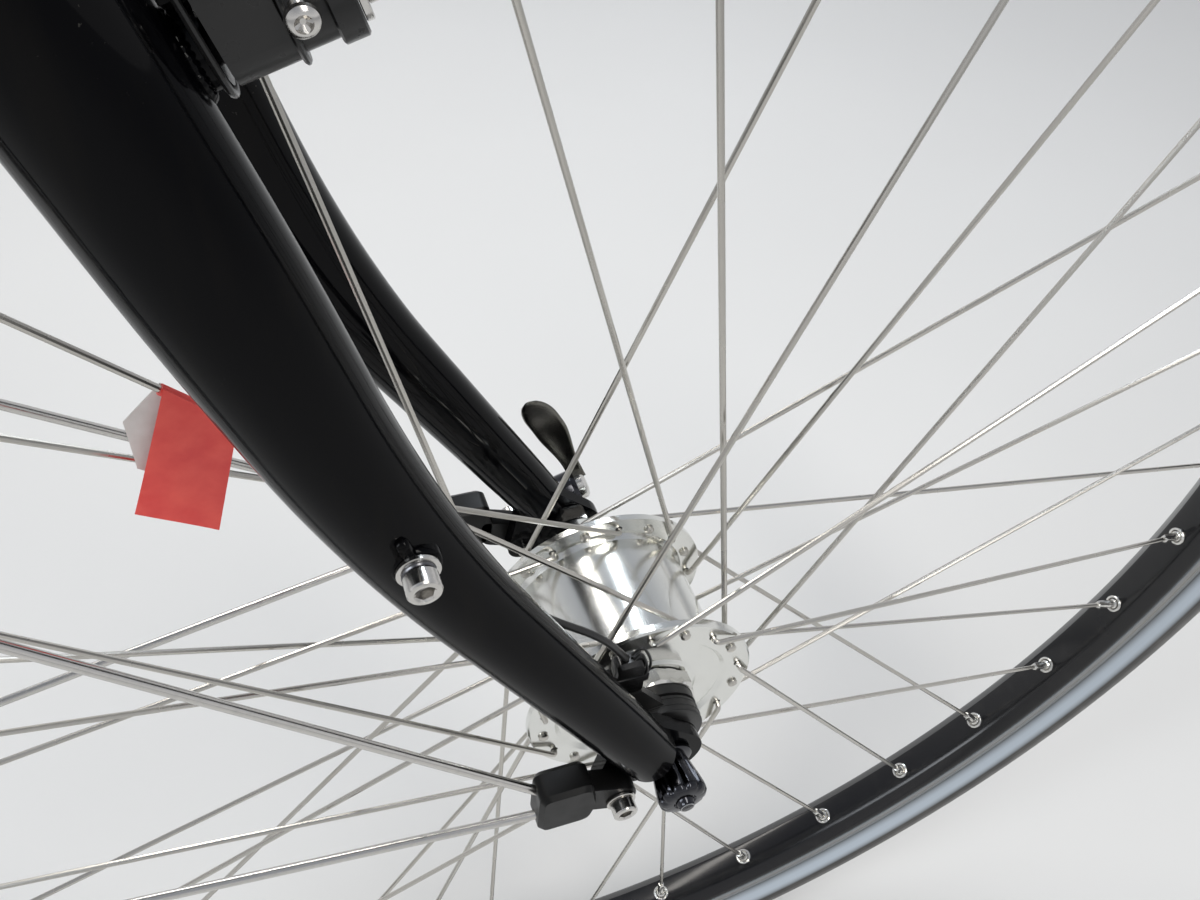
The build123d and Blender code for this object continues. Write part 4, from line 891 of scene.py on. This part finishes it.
def blade_end(side, sign):
    """Rounded end of a blade over its dropout."""
    shape = Shape()
    tip = blade_centre(BLADE_TIP_DROP, sign)
    way = tip - blade_centre(BLADE_TIP_DROP - 5.0, sign)
    shape.lathe(seat(tip, way), (
        (-1.0, 9.3), (0.0, 9.35), (1.2, 8.7), (2.1, 7.2), (2.6, 4.5), (2.7, 1.5),
    ), 40)
    shape.piece(f"blade_end_{side}", "gloss_black", "fork", sharp=60)


# Brake
def brake_fittings(side, sign):
    """Spring-tension screw, return spring, pivot collars, pivot bolt and brake shoe of one brake arm."""
    outward = LEFT * sign

    def from_pivot(ahead, out, up):
        return fork_point(ARM_FORE + ahead, sign * (BRAKE_BOSS_LEFT + out), up - BRAKE_BOSS_DROP)

    place = seat(from_pivot(*TENSION_SCREW), outward, STEER_FORE)
    screw = Shape()
    threads = []
    for turn in range(TENSION_THREADS):
        height = -7.0 + turn * TENSION_PITCH
        threads += [(height, 1.5), (height + TENSION_PITCH / 2, 1.22)]
    screw.lathe(place, threads, 20)
    slot = facets(1.9, 4)
    screw.lathe(place, (
        (1.4, 1.6), (1.5, 2.6), (2.2, 2.95), (3.0, 2.75), (3.6, 2.1), (3.75, 1.55), (3.3, slot), (2.6, 0.5),
    ), 48)
    screw.piece(f"tension_screw_{side}", "stainless", "fork", sharp=30)

    spring = Shape()
    wire = [from_pivot(*SPRING_END)]
    for step in range(13):
        a = math.pi * step / 12
        wire.append(from_pivot(-1.6, SPRING_LOOP_R * math.cos(a), -SPRING_LOOP_R * math.sin(a)))
    spring.tube(wire, SPRING_WIRE_R, 8)
    spring.piece(f"return_spring_{side}", "satin_black", "fork")

    collar = Shape()
    for low, high, radius in PIVOT_COLLARS:
        collar.disc(seat(from_pivot(0, 0, 0), STEER_FORE, LEFT), low, high, radius, (0.5, 0.4))
    collar.piece(f"pivot_collars_{side}", "satin_black", "fork")

    bolt = Shape()
    head = from_pivot(BARREL_LENGTH + WASHER_CLEARANCE, 0, 0)
    bolt.disc(seat(head, STEER_FORE, LEFT), 0, 1.5, 6.6)
    on_washer = seat(head + STEER_FORE * 1.5, STEER_FORE, LEFT)
    bolt.cap_screw(on_washer, SCREW_R, SCREW_HEIGHT, PIVOT_SOCKET_R)
    bolt.piece(f"pivot_bolt_{side}", "stainless", "fork", [f"arm_bolt_{side}"], 30)

    pad = Shape()
    step = PAD_SPAN / PAD_BLOCKS
    half = PAD_R * math.radians(step) / 2 - PAD_GROOVE / 2
    block = rounded(oblong(half, PAD_HALF_HEIGHT), 1.2)
    for count in range(PAD_BLOCKS):
        middle = wheel_point(PAD_ANGLE + (count - (PAD_BLOCKS - 1) / 2) * step, PAD_R)
        place = seat(middle, outward, LEFT.cross(middle - HUB))
        pad.slab(place, block, PAD_INNER, PAD_INNER + PAD_BLOCK_DEPTH)
    low = PAD_R - PAD_HALF_HEIGHT
    high = PAD_R + PAD_HALF_HEIGHT
    inner = PAD_INNER + PAD_BACK_DEPTH
    back = rounded([(inner, low), (PAD_OUTER, low + 1.0), (PAD_OUTER, high - 1.0), (inner, high)], 1.6)
    angles = [PAD_ANGLE + (count / 16 - 0.5) * PAD_SPAN for count in range(17)]
    pad.wheel_band([(sign * point[0], point[1]) for point in back], angles, loop=False)
    pad.piece(f"brake_shoe_{side}", "pad_rubber", "fork", [f"brake_pad_{side}"])


# Axle end fittings
def octagon_nut():
    """Right-hand locknut with eight faces and bevelled rims."""
    shape = Shape()
    across = STEER_FORE * math.cos(OCTAGON_TURN) + STEER_UP * math.sin(OCTAGON_TURN)
    flat = OCTAGON_R * math.cos(math.pi / 8)
    face = facets(OCTAGON_R, 8)
    near = OCTAGON_INNER
    far = OCTAGON_OUTER
    shape.lathe(seat(HUB, RIGHT, across), (
        (near, 17.0), (near, flat), (near + 0.5, face), (far - 0.8, face), (far, flat), (far, 17.6),
        (far - 0.6, 17.2), (far - 0.6, 9.0),
    ), 48)
    shape.piece("locknut_right", "steel", "fork", ["hub_nut_right"], 25, finish=nickel)


def release_nut():
    """Quick-release nut with long flutes that open towards its end."""
    shape = Shape()
    place = seat(HUB, RIGHT, STEER_FORE)

    def fluted(radius, depth):
        return polar([radius - depth * max(0.0, math.cos(a * NUT_FLUTES)) ** 1.5 for a in turns(120)])

    shape.lathe(place, (
        (55.8, 8.6), (56.1, 9.0), (57.1, 9.0), (57.5, 8.4), (57.6, 6.6), (58.4, fluted(6.7, 0.3)),
        (61.0, fluted(7.2, 0.9)), (66.0, fluted(8.2, 1.1)), (70.0, fluted(8.8, 1.1)),
        (71.6, fluted(8.6, 0.8)), (72.6, fluted(7.8, 0.4)), (73.1, 6.6), (73.2, 4.2), (72.4, 3.6),
    ), 120)
    shape.lathe(place, ((70.0, 3.2), (73.6, 3.2), (74.0, 2.9), (75.2, 2.7), (75.5, 2.2)), 32)
    shape.piece("release_nut_fluted", "dark_aluminium", "fork", ["release_nut"], 40, finish=release_black)


def release_lever():
    """Leaf-shaped lever, hollowed on its outer face, with a cam barrel and its cap."""
    shape = Shape()
    rings = []
    root, tip = [HUB + fork_point(ahead, CAM_LEFT + LEVER_OUT, up) for ahead, up in LEVER_ENDS]
    for step in range(25):
        t = step / 24
        middle = root.lerp(tip, t) + LEFT * LEVER_BOW * math.sin(math.pi * t)
        middle += STEER_FORE * LEVER_SWEEP * math.sin(math.pi * t)
        swell = min(1.0, max(0.0, (t - 0.12) / 0.42))
        wide = LEVER_NECK + (LEVER_HALF_WIDTH - LEVER_NECK) * swell**2 * (3 - 2 * swell)
        wide *= math.sqrt(1 - (max(0.0, t - 0.7) / 0.305) ** 2)
        thick = LEVER_HALF_THICK * math.sqrt(max(0.03, 1 - (2 * t - 1) ** 8))
        outline = []
        for a in turns(28):
            across = wide * math.cos(a)
            out = thick * math.sin(a)
            if out < 0:
                out += LEVER_DISH * math.sin(a) ** 2 * math.sin(math.pi * min(1.0, t + 0.02)) ** 0.5
            outline.append((across, out))
        rings.append(shape.ring(seat(middle, tip - root, STEER_FORE), outline))
    shape.skin(rings)
    shape.piece("release_lever_leaf", "dark_aluminium", "fork", ["release_lever"], 60, finish=lever_metal)

    cam = Shape()
    axis = seat(HUB + LEFT * CAM_LEFT - STEER_FORE * CAM_BACK, STEER_FORE, LEFT)
    length = CAM_BACK + CAM_AHEAD
    cam.lathe(axis, (
        (0, 5.4), (0.8, 6.8), (2.4, 7.8), (length - 6.0, 7.8), (length - 4.5, 7.2), (length - 3.0, 5.2),
        (length, 4.2),
    ), 40)
    cam.piece("release_cam", "dark_aluminium", "fork", finish=release_black)
    cap = Shape()
    cap.lathe(seat(HUB + LEFT * CAM_LEFT + STEER_FORE * (CAM_AHEAD - 4.4), STEER_FORE, LEFT), (
        (0, 5.6), (0.4, 6.1), (3.2, 5.9), (4.4, 4.8), (4.9, 2.6),
    ), 32)
    cap.piece("cam_cap", "stainless", "fork", finish=nickel)
    ring = Shape()
    ring.lathe(seat(HUB, LEFT, STEER_FORE), (
        (55.7, 8.5), (56.0, 9.0), (56.8, 9.0), (57.0, facets(9.3, 24)), (59.4, facets(9.3, 24)),
        (59.6, 8.8), (60.4, 8.0), (60.5, 3.0),
    ), 48)
    ring.piece("release_seat_ring", "stainless", "fork", ["release_seat"], 25, finish=nickel)


def connector():
    """Plug shell, the two leads that fold over it and the connector's ribs."""
    plug = Shape()
    middle = HUB + Vector((TOWER_AHEAD, 0, (TOWER_TOP + PLUG_TOP) / 2))
    place = seat(middle, RIGHT, (1, 0, 0))
    half_width = PLUG_WIDTH / 2 - 0.2
    half_height = (PLUG_TOP - TOWER_TOP) / 2
    top_half = half_width - 1.2
    outline = oblong(half_width, half_height)[:2] + [(top_half, half_height), (-top_half, half_height)]
    plug.slab(place, rounded(outline, 2.6, 5), PLUG_INNER, PLUG_OUTER, 1.4)
    waist = rounded(oblong(half_width + 0.5, 1.6), 0.6, 3)
    plug.slab(place, waist, PLUG_INNER + 1.0, PLUG_OUTER + 0.4, 0.4)
    plug.piece("dynamo_plug_shell", "black_plastic", "fork", ["dynamo_plug"], 40, finish=plug_gloss)

    leads = Shape()
    top = HUB + Vector((TOWER_AHEAD, 0, PLUG_TOP))
    for reach, dip, right in PLUG_LEADS:
        corners = (
            (1.0, 0, 1.0), (reach * 0.6, 0, 3.2), (reach, 1.0, -3.0), (reach, 1.2, -dip * 0.6),
            (reach * 0.72, 0, -dip),
        )
        line = [top + Vector((ahead, -right - out, up)) for ahead, out, up in corners]
        leads.tube(bend(line), 0.5, 10)
    leads.piece("plug_leads", "wire_rubber", "fork", sharp=60)

    ribs = Shape()
    for left, radius in CONNECTOR_RIBS:
        ribs.disc(seat(HUB + LEFT * left, RIGHT, STEER_FORE), 0, 0.8, radius, (0.6, 0.25), 64)
    ribs.piece("connector_ribs", "black_plastic", "fork")


# Stays and their clips
def stay_clip(side, sign):
    """Moulded clip with a crease along its side and sleeves where the stays go in."""
    outward = LEFT * sign
    face = seat(HUB + outward * (CLIP_INNER + 0.1), outward, (1, 0, 0))
    flip = face.to_3x3().col[1].z
    eyelet = STEER_FORE * EYELET[0] + STEER_UP * EYELET[1]

    def at(ahead, up):
        return ahead, up * flip

    shape = Shape()
    block = [at(-50.0, -5.0), at(-32.0, -5.0), at(-29.5, 4.0), at(-32.0, 17.0), at(-50.0, 17.0)]
    shape.slab(face, rounded(block, 3.0, 5), 0.0, 11.6, 1.8)
    eye = [at(-36.0, 9.8), at(-36.0, -4.5), at(-18.0, -11.8), at(-12.4, -6.0), at(-15.5, 1.6)]
    shape.slab(face, rounded(eye, 4.5, 6), 0.0, 8.0, 1.0)
    replaced = [f"stay_clip_{side}"]
    shape.piece(f"stay_clip_moulded_{side}", "black_plastic", "fork", replaced, finish=clip_plastic)

    bolt = Shape()
    head = HUB + eyelet + outward * (CLIP_INNER + 8.2)
    bolt.disc(seat(head, outward, STEER_FORE), 0, 1.1, 5.2)
    on_washer = seat(head + outward, outward, STEER_FORE)
    bolt.cap_screw(on_washer, CLIP_SCREW_R, SCREW_HEIGHT, SOCKET_R)
    bolt.lathe(seat(head, -outward, STEER_FORE), ((0, 2.5), (16.0, 2.5)), 24)
    bolt.piece(f"clip_screw_{side}", "stainless", "fork", [f"clip_bolt_{side}"], 30)


def guard_trim():
    """Rolled edges, ridges and rivets of the mudguard, and the caps on the stays' ends."""
    step = (GUARD_REAR - GUARD_FRONT) / GUARD_STEPS
    angles = [GUARD_FRONT + count * step for count in range(GUARD_STEPS + 1)]
    edges = Shape()
    for left, radius, size in (
        (GUARD_HALF_WIDTH - 0.4, GUARD_EDGE_R + 0.4, 1.3),
        (GUARD_HALF_WIDTH * 0.42, GUARD_OUTER_R - 1.8, 0.9),
    ):
        for sign in (-1, 1):
            edges.tube([wheel_point(angle, radius, sign * left) for angle in angles], size, 8)
    edges.piece("mudguard_edges", "guard_plastic", "fork", sharp=60)
    caps = Shape()
    rivets = Shape()
    for ahead, up, out, angle in STAY_ENDS:
        for sign in (-1, 1):
            start = HUB + Vector((ahead, sign * (CLIP_INNER + out), up))
            end = wheel_point(angle, GUARD_EDGE_R + 3.0, -sign * STAY_OUT)
            caps.lathe(seat(end, end - start), (
                (-12.0, 2.2), (-11.2, 2.8), (0.6, 2.8), (1.6, 2.2), (2.0, 1.0),
            ), 24)
            rivet = wheel_point(angle, GUARD_OUTER_R - 0.4, sign * RIVET_LEFT)
            place = seat(rivet, wheel_point(angle, 1) - HUB)
            rivets.lathe(place, ((0, 3.0), (1.6, 2.9), (2.3, 2.2), (2.6, 0.8)), 24)
    caps.piece("stay_end_caps", "black_plastic", "fork")
    rivets.piece("bridge_rivets", "stainless", "fork")


# Lamp and its wire
def lamp_details():
    """Bezel, and a stepped reflector with its light source."""
    bezel = Shape()
    face = seat((LAMP_FRONT, 0, LAMP_MIDDLE_Z), (1, 0, 0), LEFT)
    rings = []
    for grow, height in ((0.0, -1.2), (0.8, -0.6), (0.8, 0.4), (-0.4, 0.9), (-2.2, 0.5), (-2.5, -2.0)):
        outline = rounded(oblong(BEZEL_HALF_WIDTH + grow, BEZEL_HALF_HEIGHT + grow), 12.0, 7)
        rings.append(bezel.ring(face, outline, height))
    bezel.skin(rings, loop=True)
    bezel.piece("lamp_bezel", "black_plastic", "fork", sharp=50)
    bowl = Shape()
    rows = []
    depths = [(share, -3.4 - 4.0 * (1 - share**2)) for share in (1.0, 0.86, 0.72, 0.58, 0.44, 0.3, 0.18)]
    for share, height in depths + [(0.18, -7.7), (1.0, -7.8)]:
        outline = oblong(BOWL_HALF_WIDTH * share, BOWL_HALF_HEIGHT * share)
        rows.append(bowl.ring(face, rounded(outline, 9.0 * share, 5), height))
    bowl.skin(rows, loop=True)
    bowl.piece("lamp_reflector", "stainless", "fork", sharp=12, finish=nickel)
    source = Shape()
    source.lathe(face, ((-7.4, 4.0), (-6.6, 4.0), (-6.0, 3.2), (-5.6, 1.6)), 24)
    source.piece("lamp_source", "lens", "fork", finish=pale_source)


def wire_clips():
    """Small clips that hold the lamp wire to the inside of the right blade."""
    shape = Shape()
    for drop, right, fore in WIRE_CLIPS:
        middle = fork_point(fore, -right, -drop)
        out = (middle - blade_centre(drop, -1)).normalized()
        outline = rounded([(-2.6, -3.0), (1.9, -2.2), (2.2, 0), (1.9, 2.2), (-2.6, 3.0)], 1.2)
        shape.slab(seat(middle, STEER_UP, out), outline, -5.0, 5.0, 0.8)
    shape.piece("wire_clips", "black_plastic", "fork")


# Marker tape
def marker_flag():
    """Red tape folded over a spoke, a little curled, with its pale side showing at the back."""
    hole = SPOKE_PHASE + FLAG_HOLE * 360 / HOLES_PER_FLANGE
    line = spoke_line(FLANGE_RIGHT, -1, CROSS_ANGLE, hole)
    way = (line[-1] - line[-2]).normalized()
    start = line[-2] + way * (FLAG_ALONG - ELBOW_R)
    place = seat(start, RIGHT - way * way.dot(RIGHT), -way)

    def along(edge, t):
        """A place on an edge of straight runs, by its share of the corners passed."""
        runs = len(edge) - 1
        run = min(int(t * runs), runs - 1)
        return Vector(edge[run]).lerp(Vector(edge[run + 1]), t * runs - run)

    def sheet(shape, near, far, low, curl):
        rings = []
        for down in [row / 12 for row in range(13)]:
            outer = []
            inner = []
            for across in [column / 8 for column in range(9)]:
                point = along(near, down).lerp(along(far, down), across)
                rise = low + curl * math.sin(down * 2.6) * (0.6 + 0.4 * math.cos(across * 3.0 + 0.4))
                outer.append(place @ Vector((point.x, point.y, rise + 0.18)))
                inner.append(place @ Vector((point.x, point.y, rise - 0.18)))
            rings.append([shape.mesh.verts.new(point) for point in outer + inner[::-1]])
        shape.skin(rings)

    front = Shape()
    near = ((0, 1.4), (7.7, -18.0), (15.4, -36.8))
    far = ((20.5, 0.8), (23.5, -5.3), (37.0, -32.4))
    sheet(front, near, far, 1.35, 1.6)
    front.tube([start - way * (step * 2.05) for step in range(11)], 1.5, 16)
    front.piece("marker_tape", "red_tape", "wheel", ["spoke_flag"], 60)
    back = Shape()
    near = ((-0.4, 0.6), (-0.7, -14.9), (9.7, -26.0))
    far = ((20.0, 0.2), (24.0, -16.0), (26.0, -24.0))
    sheet(back, near, far, -1.35, -1.0)
    back.piece("marker_tape_back", "red_tape", "wheel", sharp=60, finish=tape_back)


for fork_side, fork_sign in (("right", -1), ("left", 1)):
    spokes(fork_side)
    blade_skin(fork_side, fork_sign)
    blade_fittings(fork_side, fork_sign)
    blade_welds(fork_side, fork_sign)
    blade_end(fork_side, fork_sign)
    brake_fittings(fork_side, fork_sign)
    stay_clip(fork_side, fork_sign)
nipples()
tyre()
rim()
valve()
cable_guide()
octagon_nut()
release_nut()
release_lever()
connector()
guard_trim()
lamp_details()
wire_clips()
marker_flag()


# Floor, light and camera
def stage_floor():
    low = cad_box[0].z
    bpy.ops.mesh.primitive_plane_add(size=14, location=(0.2, 0, low - 0.0005))
    floor = bpy.context.object
    floor.name = "floor"
    finish = Finish("pale_floor")
    finish.colour(finish.noise(400, 3.0), (0.74, 0.73, 0.71), (0.79, 0.78, 0.76))
    finish.rough(300, 3.0, (0.3, 0.6), (0.8, 0.8))
    floor.data.materials.append(finish.material)


def soft_light(name, place, size, power, colour):
    lamp = bpy.data.lights.new(name, "AREA")
    lamp.shape = "RECTANGLE"
    lamp.size, lamp.size_y = size
    lamp.energy = power
    lamp.color = colour
    obj = add_object(name, lamp)
    obj.location = place
    obj.rotation_euler = (Vector(LIGHT_AIM) - Vector(place)).to_track_quat("-Z", "Y").to_euler()


def pale_world():
    """An even studio, paler towards the floor than overhead."""
    world = bpy.data.worlds.new("studio")
    world.use_nodes = True
    bpy.context.scene.world = world
    tree = world.node_tree
    way = tree.nodes.new("ShaderNodeTexCoord")
    parts = tree.nodes.new("ShaderNodeSeparateXYZ")
    shade = tree.nodes.new("ShaderNodeValToRGB")
    stops = ((0.0, (0.78, 0.78, 0.79, 1)), (0.75, (0.34, 0.36, 0.40, 1)))
    for element, (place, colour) in zip(shade.color_ramp.elements, stops):
        element.position = place
        element.color = colour
    tree.links.new(way.outputs["Generated"], parts.inputs[0])
    tree.links.new(parts.outputs["Z"], shade.inputs[0])
    tree.links.new(shade.outputs[0], tree.nodes["Background"].inputs["Color"])


def photo_camera():
    camera = bpy.data.cameras.new("camera")
    camera.sensor_fit = "HORIZONTAL"
    camera.sensor_width = SENSOR_WIDTH
    camera.lens = FOCAL_PIXELS / PHOTO_WIDTH * SENSOR_WIDTH
    camera.clip_start = 0.005
    obj = add_object("camera", camera)
    forward = CAMERA_FORWARD.normalized()
    across = CAMERA_DOWN.cross(forward).normalized()
    rise = across.cross(forward)
    turn = Matrix((across, rise, -forward)).transposed().to_4x4()
    obj.matrix_world = Matrix.Translation((HUB + CAMERA_FROM_HUB) * MM) @ turn
    bpy.context.scene.camera = obj


stage_floor()
pale_world()
for light in LIGHTS:
    soft_light(*light)
photo_camera()
bpy.context.scene.view_settings.view_transform = "Standard"
